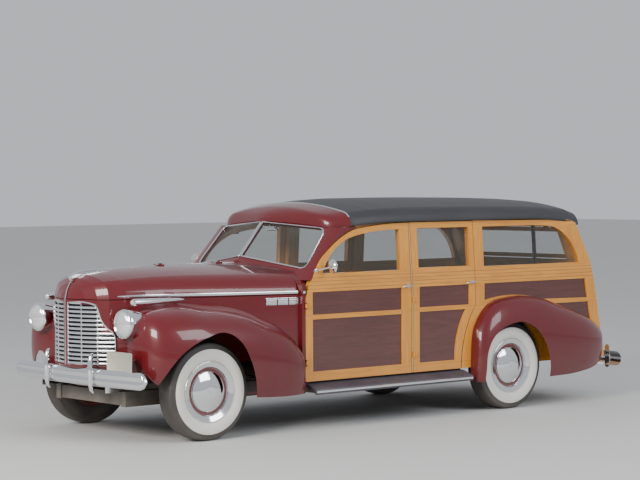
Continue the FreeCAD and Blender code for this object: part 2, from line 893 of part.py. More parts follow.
def hood_moulding():
    """Centre moulding down the hood and nose, with the ornament on its front."""
    half = HINGE_X - SHUT - 3
    raised = hood_form(-5, HOOD_BOTTOM).cut(HOOD_SOLID)
    strip = raised.common(block((-half, half), (front(-900), HOOD_REAR), (545, FAR)))
    shapes = [max(strip.Solids, key=lambda solid: solid.Volume)]
    for side in (-1, 1):
        shapes += [hinge_pin(place, HINGE_X) for place in hood_hinge_places(side)]
    outline = [
        (front(-640), 1150),
        (front(-655), 1178),
        ("arc", front(-600), 1206),
        (front(-500), 1222),
        ("arc", front(-350), 1228),
        (front(-220), 1228),
        (front(-220), 1222),
        (front(-560), 1192),
    ]
    foot = prism("YZ", -half, half, outline).cut(HOOD_SOLID)
    ornament = prism("YZ", -16, 16, outline).cut(hood_form(-SHUT - 1, HOOD_BOTTOM))
    shapes += [foot, ornament]
    piece("hood_moulding", fuse(shapes))


# Bumpers: a bowed blade with rounded ends, guards and brackets
def blade(half_length, level, front_y, direction):
    """A blade that bows out; direction is -1 at the front and 1 at the rear."""
    height = size("blade_height")
    thick = size("blade_thickness")
    radius = size("blade_radius")
    centre = front_y - direction * radius
    profile = [
        (radius - thick, -height / 2),
        (radius - thick * 0.35, -height / 2),
        ("arc", radius, 0),
        (radius - thick * 0.35, height / 2),
        (radius - thick, height / 2),
        ("arc", radius - thick * 0.6, 0),
    ]
    section = face("XZ", 0, profile)
    sweep = 2 * math.degrees(math.asin((half_length + 30) / radius))
    ring = section.revolve(Vector(0, 0, 0), UP, sweep)
    turn = 90 * direction - sweep / 2
    ring.Placement = Placement(Vector(0, centre, level), Rotation(UP, turn))
    corner = 0.46 * height
    ends = [
        (-half_length + corner, level - height / 2),
        (half_length - corner, level - height / 2),
        ("arc", half_length - corner * 0.293, level - height / 2 + corner * 0.293),
        (half_length, level - height / 2 + corner),
        (half_length, level + height / 2 - corner),
        ("arc", half_length - corner * 0.293, level + height / 2 - corner * 0.293),
        (half_length - corner, level + height / 2),
        (-half_length + corner, level + height / 2),
        ("arc", -half_length + corner * 0.293, level + height / 2 - corner * 0.293),
        (-half_length, level + height / 2 - corner),
        (-half_length, level - height / 2 + corner),
        ("arc", -half_length + corner * 0.293, level - height / 2 + corner * 0.293),
    ]
    return ring.common(prism("XZ", centre - direction * 2 * radius, centre + direction * 2 * radius, ends))


def guard(x, blade_y, low, high, direction, width=52, depth=58):
    """An upright guard with a rounded head and foot."""
    outline = [
        (x - width / 2, low + width / 2),
        ("arc", x, low),
        (x + width / 2, low + width / 2),
        (x + width / 2, high - width / 2),
        ("arc", x, high),
        (x - width / 2, high - width / 2),
    ]
    near = blade_y - direction * 30
    return prism("XZ", *sorted((near, near + direction * depth)), outline)


def bowed(x, front_y, direction):
    """Y of the blade's face at a distance from the centre line."""
    radius = size("blade_radius")
    return front_y - direction * (radius - math.sqrt(radius * radius - x * x))


def bumpers():
    face_y = front(-size("front_overhang")) + 28
    shapes = [blade(size("front_blade_half_length"), size("front_blade_level"), face_y, -1)]
    for x in (-670, -285, 285, 670):
        shapes.append(guard(x, bowed(x, face_y, -1), 355, 638 if abs(x) < 400 else 626, -1))
    middle = size("frame_half_width")
    level = size("front_blade_level")
    for side in (-1, 1):
        span = sorted((side * (middle - 10), side * (middle + 10)))
        back = bowed(middle, face_y, -1) + 14
        shapes.append(block(span, (back, front(-480) - GAP), (level - 40, level + 10)))
        drop = (front(-510), front(-480) - GAP)
        shapes.append(block(span, drop, (size("frame_rail_bottom") + 20, level + 10)))
    piece("front_bumper", fuse(shapes))
    face_y = rear(size("rear_overhang")) + 3
    level = size("rear_blade_level")
    shapes = [blade(size("rear_blade_half_length"), level, face_y, 1)]
    for x in (-655, 655):
        shapes.append(guard(x, bowed(x, face_y, 1), 240, 440, 1))
    for side in (-1, 1):
        span = sorted((side * (middle - 10), side * (middle + 10)))
        near = front(RAIL_BENDS[-1][0] - 60)
        back = bowed(middle, face_y, 1) - 14
        shapes.append(block(span, (near, back), (level - 20, level + 30)))
        shapes.append(block(span, (near, near + 50), (level - 20, rail_bottom(4180) - GAP)))
    piece("rear_bumper", fuse(shapes))


def lamps():
    """Headlamps in the fender fronts, parking lamps on the crowns and tail lamps."""
    radius = size("lamp_radius")
    x = size("lamp_half_spacing")
    profile = [
        (0, 0),
        ("arc", radius * 0.55, 12),
        (radius - 12, 40),
        ("arc", radius, 48),
        (radius, 66),
        (radius - 12, 90),
        (radius - 30, 180),
        (0, 220),
    ]
    section = face("XZ", 0, profile)
    head = section.revolve(Vector(0, 0, 0), UP, 360)
    head.Placement = Placement(Vector(x, front(-566), size("lamp_height")), Rotation(ACROSS, -90))
    parking_profile = [(0, 0), ("arc", 22, 20), (34, 75), ("arc", 24, 300), (0, 480)]
    bullet = face("XZ", 0, parking_profile).revolve(Vector(0, 0, 0), UP, 360)
    bullet.Placement = Placement(Vector(x, front(-492), 1000), Rotation(ACROSS, -90))
    tail = Part.makeCylinder(42, 40, Vector(0, 0, 0), ALONG)
    tail = tail.fuse(Part.makeCone(42, 20, 60, Vector(0, 0, 0), Vector(0, -1, 0)))
    return head, bullet, tail


def lamp_pieces():
    head, bullet, tail = lamps()
    fender = fender_form(FRONT_FENDER_SECTIONS, FRONT_AXLE, 0, 0)
    head = head.cut(fender)
    head = max(head.Solids, key=lambda solid: solid.Volume)
    piece("headlamps", Part.makeCompound([head, mirror(head)]))
    bullet = bullet.cut(fender)
    bullet = max(bullet.Solids, key=lambda solid: solid.Volume)
    piece("parking_lamps", Part.makeCompound([bullet, mirror(bullet)]))
    tail.Placement = Placement(Vector(690, rear_face(760) + 4, 760), Rotation())
    post = rear_post_solid()
    tail = max(tail.cut(post).Solids, key=lambda solid: solid.Volume)
    piece("tail_lamps", Part.makeCompound([tail, mirror(tail)]))


# The rear face leans forward above the belt and a little below it
def rear_face(height):
    """Y of the body's rear face at a height."""
    belt = size("belt_height")
    if height >= belt:
        return rear(1029) - (height - belt) * 0.486
    return rear(1029) + (belt - height) * 0.2


def rear_slab(low, high, inset, thick):
    """Side outline of a slab along the leaning rear face."""
    belt = size("belt_height")
    heights = [low, belt, high] if low < belt < high else [low, high]
    outer = [(rear_face(level) - inset, level) for level in heights]
    inner = [(y - thick, level) for y, level in reversed(outer)]
    return outer + inner


# Roof: station from the front axle, half width, edge height, centre height
ROOF_SECTIONS = [
    (1172, 150, 1540, 1596),
    (1222, 400, 1515, 1640),
    (1284, 585, 1502, 1668),
    (1360, 690, 1507, 1686),
    (1450, 744, 1522, 1697),
    (1850, 763, 1546, 1724),
    (2400, 766, 1550, 1727),
    (3150, 766, 1548, 1719),
    (3620, 760, 1532, 1706),
    (3880, 744, 1508, 1690),
    (4010, 715, 1486, 1652),
    (4075, 650, 1478, 1570),
]
ROOF_SEAM = 1430
ROOF_SPACING = 260


def roof_outline(width, edge, crest):
    """Section of the roof: round corners and a crowned top."""
    rise = crest - edge
    corner = 0.86 * width
    return [
        (-width, edge),
        (width, edge),
        ("arc", width - 0.22 * (width - corner), edge + 0.36 * rise),
        (corner, edge + 0.62 * rise),
        ("arc", 0, crest),
        (-corner, edge + 0.62 * rise),
        ("arc", -width + 0.22 * (width - corner), edge + 0.36 * rise),
    ]


def roof_form(inset, drop):
    sections = []
    for station, width, edge, crest in blended(ROOF_SECTIONS, ROOF_SPACING):
        shift = inset if station < 2000 else -inset
        lift = size("roof_height") - 1727
        outline = roof_outline(width - inset, edge - drop, crest + lift - inset)
        sections.append((front(station) + shift, outline))
    return loft("XZ", sections)


def roof_shell():
    thick = size("roof_thickness")
    return roof_form(0, 0).cut(roof_form(thick, 40))


ROOF_SHELL = roof_shell()


def roof_top():
    region = block((-FAR, FAR), (front(ROOF_SEAM) + GAP, FAR), (0, FAR))
    piece("roof_top", ROOF_SHELL.common(region))


# Windscreen: two flat panes that meet in a shallow V
# half width, station and height of each corner of the left pane's outer face
PANE_CORNERS = [(0, 925, 1286), (583, 1016, 1219), (580, 1259, 1477), (0, 1146, 1546)]


def pane_corners():
    return [Vector(x, front(y), z) for x, y, z in PANE_CORNERS]


def pane_frame():
    """Origin, directions and normal of the left pane."""
    base, outer, outer_top, top = pane_corners()
    across = (outer - base).normalize()
    normal = across.cross(top - base).normalize()
    if normal.y > 0:
        normal = normal * -1
    return base, across, normal


def pane_solid(shrink, before, behind):
    """The left pane's outline shrunk, thickened before and behind its plane."""
    corners = pane_corners()
    normal = pane_frame()[2]
    centre = (corners[0] + corners[1] + corners[2] + corners[3]) * 0.25
    flat = []
    for corner in corners:
        inward = (centre - corner).normalize()
        point = corner + inward * (shrink * 1.3)
        point = point - normal * normal.dot(point - corners[0])
        flat.append(point + normal * before)
    shape = Part.Face(Part.makePolygon(flat + flat[:1]))
    return shape.extrude(normal * -(before + behind))


def screen_outline(height, inset):
    """Plan of the windscreen surround at a height: a V front with round corners."""
    rise = (height - 1170) / 390
    centre = front(826 + rise * 334) + inset * 1.2
    outer = front(962 + rise * 375) + inset * 1.2
    side = HALF - 8 - rise * 34 - inset
    turn = outer + 70
    return [
        (-side, turn + 12),
        (-side, turn),
        ("arc", -side + 32, outer + 28),
        (-590, outer),
        (0, centre),
        (590, outer),
        ("arc", side - 32, outer + 28),
        (side, turn),
        (side, front(1480)),
        (-side, front(1480)),
    ]


def cowl_and_screen():
    """Cowl, firewall, windscreen surround, roof front and door pillars, as one pressing."""
    thick = 30
    outer = loft("XY", [(1120, screen_outline(1120, 0)), (1600, screen_outline(1600, 0))])
    inner = loft("XY", [(1080, screen_outline(1080, thick)), (1640, screen_outline(1640, thick))])
    surround = outer.cut(inner)
    above = block((-FAR, FAR), (front(ROOF_SECTIONS[0][0]), front(1500)), (1504, FAR))
    surround = surround.cut(above.cut(roof_form(6, 400)))
    surround = surround.cut(block((-FAR, FAR), (front(0), HOOD_REAR), (0, FAR)))
    panes = pane_solid(30, 60, 60)
    surround = surround.cut(fuse([panes, mirror(panes)]))
    room = prism("YZ", 560, FAR, door_opening())
    door_room = fuse([room, mirror(room)])
    cowl_region = block((-FAR, FAR), (HOOD_REAR, front(1030)), (0, FAR))
    cowl_skin = HOOD_SHELL.common(cowl_region)
    lower = block((HALF - 90, HALF), (HOOD_REAR, DOOR_FRONT - SHUT), (375, 1100))
    firewall = block((-HALF + 60, HALF - 60), (HOOD_REAR, HOOD_REAR + 8), (375, 1215)).common(HOOD_SOLID)
    cap = ROOF_SHELL.common(block((-FAR, FAR), (front(900), front(ROOF_SEAM)), (0, FAR)))
    shapes = [surround, cowl_skin, lower, mirror(lower), firewall, cap]
    shell = fuse(shapes).cut(door_room)
    pins = [hinge_pin(place, 8) for place in door_hinge_places(DOOR_FRONT)]
    shell = fuse([shell, *pins, *[mirror(pin) for pin in pins]])
    return max(shell.Solids, key=lambda solid: solid.Volume)


# Doors, drawn on the left side
DOOR_HINGES = (500, 930)


def door_hinge_places(station):
    """The hinges of a door whose front edge is at the station, on the left side."""
    outer = HALF + size("hinge_proud")
    return [hinge_place(Vector(outer, station, level), ACROSS, ALONG) for level in DOOR_HINGES]


def front_door_waste():
    """What is cut off the front door above and ahead of the pillar's curve."""
    back = DOOR_FRONT + size("front_door_length")
    return [
        (DOOR_FRONT - 60, 985),
        (DOOR_FRONT, 985),
        ("arc", front(1144), 1310),
        (front(1447), 1490),
        ("arc", front(1700), 1521),
        (back, 1534),
        (back, 1600),
        (DOOR_FRONT - 60, 1600),
    ]


def door_opening():
    """The opening in the pillar and roof front for the front door."""
    low = size("door_bottom") - SHUT
    return [
        (DOOR_FRONT - SHUT, low),
        (front(1600), low),
        (front(1600), 1519),
        ("arc", front(1520), 1506),
        (front(1442), 1497),
        ("arc", front(1138), 1314),
        (DOOR_FRONT - SHUT, 985),
    ]


def front_window_outline(grow):
    stile = size("stile_width")
    belt = size("belt_height")
    back = DOOR_FRONT + size("front_door_length") - stile - 30
    return [
        (front(1108) - grow, belt - grow),
        (back + grow, belt - grow),
        (back + grow, 1484 + grow),
        ("arc", front(1640), 1472 + grow),
        (front(1440), 1441 + grow),
        ("arc", front(1232) - grow * 0.7, 1336 + grow * 0.7),
    ]


def rear_door_waste():
    """What is cut off the rear door's lower rear corner around the wheel arch."""
    back = REAR_DOOR_FRONT + size("rear_door_length")
    return [
        (back - 165, 300),
        (back - 165, 360),
        ("arc", back - 118, 640),
        (back, 862),
        (back + 60, 862),
        (back + 60, 300),
    ]


def rear_window_outline(grow):
    stile = size("stile_width")
    back = REAR_DOOR_FRONT + size("rear_door_length")
    return rectangle(
        REAR_DOOR_FRONT + stile - grow,
        back - stile + 20 + grow,
        size("belt_height") + 10 - grow,
        1490 + grow,
    )


def front_panel_outlines():
    stile = size("stile_width")
    near = DOOR_FRONT + stile
    far = DOOR_FRONT + size("front_door_length") - stile - 30
    middle = size("mid_rail_top")
    return [
        rectangle(near, far, middle, size("belt_bottom")),
        rectangle(near, far, size("bottom_rail_top"), middle - size("mid_rail_height")),
    ]


def rear_panel_outlines():
    stile = size("stile_width")
    near = REAR_DOOR_FRONT + stile
    back = REAR_DOOR_FRONT + size("rear_door_length")
    middle = size("mid_rail_top") + 8
    lower = [
        (near, size("bottom_rail_top")),
        (back - 162 - stile, size("bottom_rail_top")),
        ("arc", back - 140 - stile * 0.9, 640),
        (back - 40 - stile, middle - size("mid_rail_height")),
        (near, middle - size("mid_rail_height")),
    ]
    return [rectangle(near, back - stile, middle, size("belt_bottom")), lower]


def door(name, waste, top, window, panels, glass_outline, length_alias, start):
    """A timber door: wall section, trimmed edge, window, and panels set in from both faces."""
    body = new_body(name + "_leaf")
    section = wall_section(0, WALL, size("door_bottom"), top)
    pad(body, name + "_slab", "XZ", start, f"Sizes.{length_alias}", [section])
    cut_through(body, name + "_edge", "YZ", [waste])
    cut_through(body, name + "_window", "YZ", [window])
    cut_from(body, name + "_recess", "YZ", HALF, "Sizes.panel_recess", panels, False)
    depth = "Sizes.wall_thickness - Sizes.panel_recess - Sizes.panel_thickness"
    cut_from(body, name + "_back", "YZ", HALF - WALL, depth, panels, True)
    hinges = doc.addObject("Part::Feature", name + "_barrels")
    hinges.Shape = Part.makeCompound([hinge_barrel(place, 40) for place in door_hinge_places(start)])
    whole = doc.addObject("Part::MultiFuse", name)
    whole.Label = name
    whole.Shapes = [body, hinges]
    keep(whole)
    pane = wall_piece(WALL / 2 - 3, WALL / 2 - 3 + size("glass_thickness"), glass_outline)
    return whole, piece(name + "_glass", pane)


def doors():
    left_front = door(
        "door_front_left", front_door_waste(), 1534, front_window_outline(0), front_panel_outlines(),
        front_window_outline(-GAP), "front_door_length", DOOR_FRONT,
    )
    left_rear = door(
        "door_rear_left", rear_door_waste(), 1536, rear_window_outline(0), rear_panel_outlines(),
        rear_window_outline(-GAP), "rear_door_length", REAR_DOOR_FRONT,
    )
    for source, glass in (left_front, left_rear):
        mirrored(source.Label.replace("left", "right"), source)
        mirrored(glass.Label.replace("left", "right"), glass)


# Timber frame of the body: quarters, posts, rails and rear corner
def arch_outline(extra):
    """Edge of the wheel arch in the quarter wall, from the ground up."""
    radius = TYRE + 50 + extra
    return [
        (REAR_AXLE - radius, 100),
        (REAR_AXLE - radius, TYRE),
        ("arc", REAR_AXLE, TYRE + radius),
        (REAR_AXLE + radius, TYRE),
        (REAR_AXLE + radius, 100),
    ]


def quarter_outline():
    """Side outline of the quarter, behind the rear door."""
    low = size("door_bottom")
    post = POST_FRONT
    return [
        (post - 160, low),
        (rear_face(low), low),
        (rear_face(size("belt_height")), size("belt_height")),
        (rear_face(1500), 1500),
        ("arc", front(3880), 1522),
        (front(3760), 1530),
        (post, 1540),
        (post, 862),
        ("arc", post - 113, 640),
    ]


def quarter_window(grow):
    post = POST_FRONT + 104
    belt = size("belt_height")
    return [
        (post - grow, belt - grow),
        (front(3958) + grow, belt - grow),
        ("arc", front(3860) + grow * 0.7, 1352 + grow * 0.7),
        (front(3640), 1480 + grow),
        ("arc", front(3500), 1487 + grow),
        (front(3375), 1490 + grow),
        (post - grow, 1490 + grow),
    ]


def quarter_panel_outlines(shrink):
    """The two panel openings of the quarter, above the fender."""
    post = POST_FRONT + 100
    middle = size("mid_rail_top") + 7
    top = size("belt_bottom")
    upper = [
        (post + shrink, 895 + shrink),
        ("arc", REAR_AXLE + 20, 925 + shrink),
        (rear(420), middle + shrink + 10),
        (rear_face(middle) - 110 - shrink, middle + shrink),
        (rear_face(top) - 110 - shrink, top - shrink),
        (post + shrink, top - shrink),
    ]
    low_top = middle - 34
    lower = [
        (rear(560) + shrink, low_top - shrink),
        (rear_face(480) - 110 - shrink, 480 + shrink),
        (rear_face(low_top) - 110 - shrink, low_top - shrink),
    ]
    return [upper, lower]


def rear_post_solid():
    """Rear corner post between the quarter and the gates."""
    outline = rear_slab(size("door_bottom"), 1500, 0, 110)
    return prism("YZ", size("gate_half_width") + SHUT, HALF - WALL + 5, outline).common(
        prism("XZ", rear(0), FAR, wall_section(0, 200, 300, 1560))
    )


def timber_frame():
    belt_low = size("door_bottom")
    quarter = wall_piece(0, WALL, quarter_outline())
    window = prism("YZ", 0, FAR, quarter_window(0))
    arch = prism("YZ", 0, FAR, arch_outline(0))
    quarter = quarter.cut(fuse([window, arch]))
    for outline in quarter_panel_outlines(0):
        quarter = quarter.cut(prism("YZ", 0, FAR, outline))
    strip = wall_piece(0, WALL + SHUT + 1, rectangle(CENTRE_FRONT, CENTRE_REAR, belt_low, 1535))
    post_span = (CENTRE_FRONT - 50, CENTRE_REAR + 50)
    centre_post = wall_piece(WALL + SHUT, WALL + SHUT + 45, rectangle(*post_span, 375, 1545))
    sill = wall_piece(WALL + SHUT, WALL + SHUT + 38, rectangle(DOOR_FRONT - SHUT, front(2600), 375, 460))
    rail_outline = [
        (front(1500), 1485),
        (front(3900), 1485),
        (front(3900), 1505),
        (front(3600), 1530),
        (front(2200), 1546),
        (front(1700), 1540),
        (front(1500), 1522),
    ]
    rail = wall_piece(WALL + SHUT, WALL + SHUT + 40, rail_outline)
    post_join = wall_piece(WALL - 1, WALL + SHUT + 40, rectangle(POST_FRONT + 2, POST_FRONT + 90, 775, 1530))
    shapes = [quarter, strip, centre_post, sill, rail, rear_post_solid(), post_join]
    left = fuse(shapes)
    half = size("gate_half_width") + SHUT + 1
    header = prism("YZ", -half, half, rear_slab(size("liftgate_top") + SHUT, 1500, 0, 60))
    valance = prism("YZ", -half, half, rear_slab(belt_low, size("tailgate_bottom") - SHUT, 0, 45))
    pins = [hinge_pin(place, CENTRE_REAR - CENTRE_FRONT + SHUT) for place in door_hinge_places(REAR_DOOR_FRONT)]
    pins += [mirror(pin) for pin in pins]
    pins += [hinge_pin(place, 24) for place in liftgate_hinges() + tailgate_hinges()]
    frame = fuse([left, mirror(left), header, valance, *pins])
    piece("timber_frame", frame.cut(roof_form(-GAP, GAP).cut(roof_form(size("roof_thickness") + GAP, 60))))


def quarter_panels():
    sheets = []
    for outline in quarter_panel_outlines(0):
        sheets.append(wall_piece(size("panel_recess"), size("panel_recess") + size("panel_thickness"), outline))
    piece("quarter_panels", Part.makeCompound(sheets + [mirror(sheet_piece) for sheet_piece in sheets]))


def fixed_glass():
    """Windscreen panes and quarter windows."""
    pane = pane_solid(30 + GAP, -8, 14)
    quarter = wall_piece(WALL / 2 - 3, WALL / 2 - 3 + size("glass_thickness"), quarter_window(-GAP))
    shapes = [pane, quarter]
    piece("fixed_glass", Part.makeCompound(shapes + [mirror(shape) for shape in shapes]))


# Gates: the upper lifts about its top edge, the lower drops about its bottom edge
GATE_HINGES = (-380, 380)


def gate_hinge_places(height, down):
    """Hinges across the rear face at a height, their moving leaves down or up the face."""
    belt = size("belt_height")
    lean = 0.486 if height >= belt else 0.2
    up_face = Vector(0, -lean, 1).normalize()
    outward = Vector(0, 1, lean).normalize()
    places = []
    for x in GATE_HINGES:
        point = Vector(x, rear_face(height), height) + outward * size("hinge_proud")
        places.append(hinge_place(point, outward, up_face * (-1 if down else 1)))
    return places


def liftgate_hinges():
    return gate_hinge_places(size("liftgate_top"), True)


def tailgate_hinges():
    return gate_hinge_places(size("tailgate_bottom"), False)


def with_barrels(name, body, places):
    """A gate's body joined with the barrels of its hinges."""
    barrels = doc.addObject("Part::Feature", name + "_barrels")
    barrels.Shape = Part.makeCompound([hinge_barrel(place, 40) for place in places])
    whole = doc.addObject("Part::MultiFuse", name)
    whole.Label = name
    whole.Shapes = [body, barrels]
    return keep(whole)


def gates():
    half = size("gate_half_width")
    low, high = size("liftgate_bottom"), size("liftgate_top")
    lift = new_body("liftgate_leaf")
    pad(lift, "LiftSlab", "YZ", 0, "2 * Sizes.gate_half_width", [rear_slab(low, high, 0, 40)], symmetric=True)
    cut_through(lift, "LiftWindow", "XZ", [rectangle(-half + 60, half - 60, low + 38, high - 38)])
    with_barrels("liftgate", lift, liftgate_hinges())
    window = prism("XZ", 0, FAR, rectangle(-half + 60 + GAP, half - 60 - GAP, low + 38 + GAP, high - 38 - GAP))
    pane = prism("YZ", -half, half, rear_slab(low, high, 17, 6)).common(window)
    piece("liftgate_glass", pane)
    bottom = size("tailgate_bottom")
    top = low - SHUT
    tail = new_body("tailgate_leaf")
    pad(tail, "TailSlab", "YZ", 0, "2 * Sizes.gate_half_width", [rear_slab(bottom, top, 0, 45)], symmetric=True)
    with_barrels("tailgate", tail, tailgate_hinges())


# Cabin
FLOOR_RISE = 2600


def floor_pan():
    """Floor with side skirts, a raised load floor and a box over each rear wheel."""
    thick = size("floor_thickness")
    low = size("frame_rail_bottom") + size("frame_rail_height")
    edge = HALF - WALL - SHUT - 2
    rise = front(FLOOR_RISE)
    narrow = edge - 40
    high = size("rear_floor_height")
    shapes = [block((-edge, edge), (HOOD_REAR + 8 + GAP, rise), (low, low + thick))]
    for side in (-1, 1):
        span = sorted((side * (edge - 10), side * edge))
        shapes.append(block(span, (HOOD_REAR + 8 + GAP, rise), (300, low + 1)))
    shapes.append(block((-narrow, narrow), (rise - 8, rise), (low, high + thick)))
    back = rear_face(high + thick) - WALL - SHUT
    shapes.append(block((-narrow, narrow), (rise - 8, back), (high, high + thick)))
    posts = rear_post_solid()
    floor = fuse(shapes).cut(fuse([posts, mirror(posts)]))
    reach = TYRE + 50
    for side in (-1, 1):
        near, far = sorted((side * (size("rear_track") / 2 - size("tyre_width") / 2 - 30), side * edge))
        outer = Part.makeCylinder(reach + 6, far - near, Vector(near, REAR_AXLE, TYRE), ACROSS)
        room = Part.makeCylinder(reach, far - near - 6, Vector(near if side < 0 else near + 6, REAR_AXLE, TYRE), ACROSS)
        above = block((near, far), (rear(-600), rear(600)), (high, FAR))
        floor = floor.cut(room).fuse(outer.common(above).cut(room))
    piece("floor_pan", floor)


def running_boards():
    outer = size("board_outer")
    top = size("board_height")
    inner = HALF - WALL - SHUT - 2 + GAP
    section = [
        (inner, top - 18),
        (inner + 30, top - 18),
        (outer - 16, OUTRIGGER_TOP + GAP),
        (outer - 16, 270),
        (outer - 4, 268),
        ("arc", outer, 288),
        (outer - 8, 310),
        (inner + 45, top),
        (inner, top),
    ]
    body = new_body("running_board_left")
    pad(body, "Board", "XZ", front(945), "Sizes.wheelbase * 0.535", [section])
    pair("running_boards", body)


def dashboard():
    """Instrument panel with the steering column."""
    outline = [
        (front(1010), 1120),
        ("arc", front(1040), 1165),
        (front(1110), 1175),
        ("arc", front(1150), 1100),
        (front(1140), 850),
        (front(1120), 850),
        (front(1100), 1080),
    ]
    panel = prism("YZ", -700, 700, outline)
    axis = column_way()
    column = Part.makeCylinder(24, 700, column_centre() - axis * 725, axis)
    piece("dashboard", fuse([panel, column]).common(block((-700, 700), (HOOD_REAR + 8 + GAP, FAR), (0, FAR))))


def column_way():
    return Vector(0, math.cos(math.radians(30)), math.sin(math.radians(30)))


def column_centre():
    return Vector(370, front(1500), 1070)


def steering_wheel():
    axis = column_way()
    centre = column_centre()
    radius = size("steering_wheel_radius")
    rim = Part.makeTorus(radius, 12, centre, axis)
    hub = Part.makeCylinder(34, 40, centre - axis * 24.7, axis)
    stub = Part.makeCylinder(8, radius, centre, Vector(1, 0, 0))
    spokes = [stub.rotated(centre, axis, angle) for angle in (-15, 195, 90)]
    piece("steering_wheel", fuse([rim, hub, *spokes]))


# Seats: name, front of cushion from the front axle, floor level, width, height of the back
SEATS = [
    ("front_seat", 1400, 375, 1280, 700),
    ("middle_seat", 2330, 375, 1240, 660),
    ("rear_seat", 3200, 575, 1120, 540),
]


def seats():
    raised = size("rear_floor_height") + size("floor_thickness") + GAP
    for name, station, floor, width, tall in SEATS:
        low = floor + GAP
        outline = [
            (front(station), low),
            (front(station + 520), low),
            (front(station + 640), low + tall - 60),
            ("arc", front(station + 595), low + tall),
            (front(station + 530), low + tall - 60),
            (front(station + 450), low + 300),
            ("arc", front(station + 200), low + 320),
            (front(station + 20), low + 300),
            ("arc", front(station - 20), low + 250),
            (front(station), low + 180),
        ]
        body = new_body(name)
        pad(body, name + "_form", "YZ", 0, str(width), [outline], symmetric=True)
        if station < FLOOR_RISE < station + 520:
            step = rectangle(front(FLOOR_RISE) - 8 - GAP, FAR, 0, raised)
            cut_through(body, name + "_step", "YZ", [step])
        keep(body)


def build():
    wheels()
    knuckles()
    chassis_frame()
    front_suspension()
    rear_axle()
    engine_block()
    tank_and_exhaust()
    nose_shell()
    grille()
    hood_halves()
    hood_moulding()
    fenders()
    bumpers()
    lamp_pieces()
    piece("cowl_shell", cowl_and_screen())
    roof_top()
    timber_frame()
    quarter_panels()
    fixed_glass()
    doors()
    gates()
    floor_pan()
    running_boards()
    dashboard()
    steering_wheel()
    seats()


build()
doc.recompute()

faults = [item.Label for item in doc.Objects if {"Invalid", "Error"} & set(item.State)]
faults += [node.Label for node in NODES if node.Shape.isNull() or not node.Shape.isValid()]
if faults:
    raise RuntimeError("These objects failed: " + ", ".join(faults))

os.makedirs("parts", exist_ok=True)
for node in NODES:
    node.Shape.exportStep(os.path.join("parts", node.Label + ".step"))
print(len(NODES), "pieces")
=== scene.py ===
# %% [markdown]
# This lesson dresses a wood-bodied station wagon of about 1940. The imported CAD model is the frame:
# every node keeps its place, gets a finish of its own, and small trim is fitted to it by measuring it.

# %% Load the frame
import bpy
import math
from mathutils import Matrix, Vector
from mathutils.bvhtree import BVHTree


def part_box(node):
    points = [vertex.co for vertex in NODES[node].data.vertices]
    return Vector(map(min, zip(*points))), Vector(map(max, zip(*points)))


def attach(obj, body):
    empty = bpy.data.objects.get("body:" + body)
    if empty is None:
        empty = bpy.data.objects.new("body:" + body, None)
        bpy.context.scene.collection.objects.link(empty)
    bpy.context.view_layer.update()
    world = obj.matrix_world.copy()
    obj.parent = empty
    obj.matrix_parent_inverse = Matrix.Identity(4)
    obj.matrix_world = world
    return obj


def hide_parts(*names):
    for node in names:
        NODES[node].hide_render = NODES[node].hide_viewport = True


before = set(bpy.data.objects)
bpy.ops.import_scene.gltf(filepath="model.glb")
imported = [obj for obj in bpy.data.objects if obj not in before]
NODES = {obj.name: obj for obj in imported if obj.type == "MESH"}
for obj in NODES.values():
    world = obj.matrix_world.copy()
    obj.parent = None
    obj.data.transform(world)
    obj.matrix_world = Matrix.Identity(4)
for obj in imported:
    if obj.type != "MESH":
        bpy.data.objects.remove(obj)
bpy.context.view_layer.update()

FRONT_AXLE, REAR_AXLE, AXLE_HEIGHT = -1.910, 1.163, 0.355
SIDES = (("left", 1), ("right", -1))
print(len(NODES), "CAD nodes")


def station(distance):
    """Row-frame Y of a distance behind the front axle."""
    return FRONT_AXLE + distance


# %% [markdown]
# Small pieces are plain meshes, made from rows of points. They could be curves with modifiers, but rows
# keep every size in sight and give clean faces. Each piece is handed to the CAD body that carries it as
# soon as it is made, so that it moves with its door, lid or wheel.

# %% Helpers: pieces and skins
def piece(name, vertices, faces, material, body, slot, sharp=40):
    mesh = bpy.data.meshes.new(name)
    mesh.from_pydata([tuple(v) for v in vertices], [], faces)
    mesh.validate()
    mesh.materials.append(material)
    mesh.shade_smooth()
    mesh.set_sharp_from_angle(angle=math.radians(sharp))
    made = bpy.data.objects.new(name, mesh)
    bpy.context.scene.collection.objects.link(made)
    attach(made, body)
    return made


def skin(rows, closed_rows, closed_columns):
    """Vertices and faces of a grid whose rows are lists of points."""
    width = len(rows[0])
    vertices = [point for row in rows for point in row]
    faces = []
    row_count = len(rows) if closed_columns else len(rows) - 1
    step_count = width if closed_rows else width - 1
    for r in range(row_count):
        for c in range(step_count):
            near, far = r * width, (r + 1) % len(rows) * width
            faces.append((near + c, near + (c + 1) % width, far + (c + 1) % width, far + c))
    if closed_rows and not closed_columns:
        faces.append(tuple(range(width))[::-1])
        last = (len(rows) - 1) * width
        faces.append(tuple(last + c for c in range(width)))
    return vertices, faces


def join(parts):
    """One vertex and face list from several."""
    vertices, faces = [], []
    for some_vertices, some_faces in parts:
        start = len(vertices)
        vertices += list(some_vertices)
        faces += [tuple(start + i for i in face) for face in some_faces]
    return vertices, faces


print("piece, skin and join are ready")

# %% [markdown]
# A lathe turns a profile about an axis, as a turner makes a knob. A sweep carries a section along a path,
# as a moulding is rolled. Most bright trim on a car is one or the other.

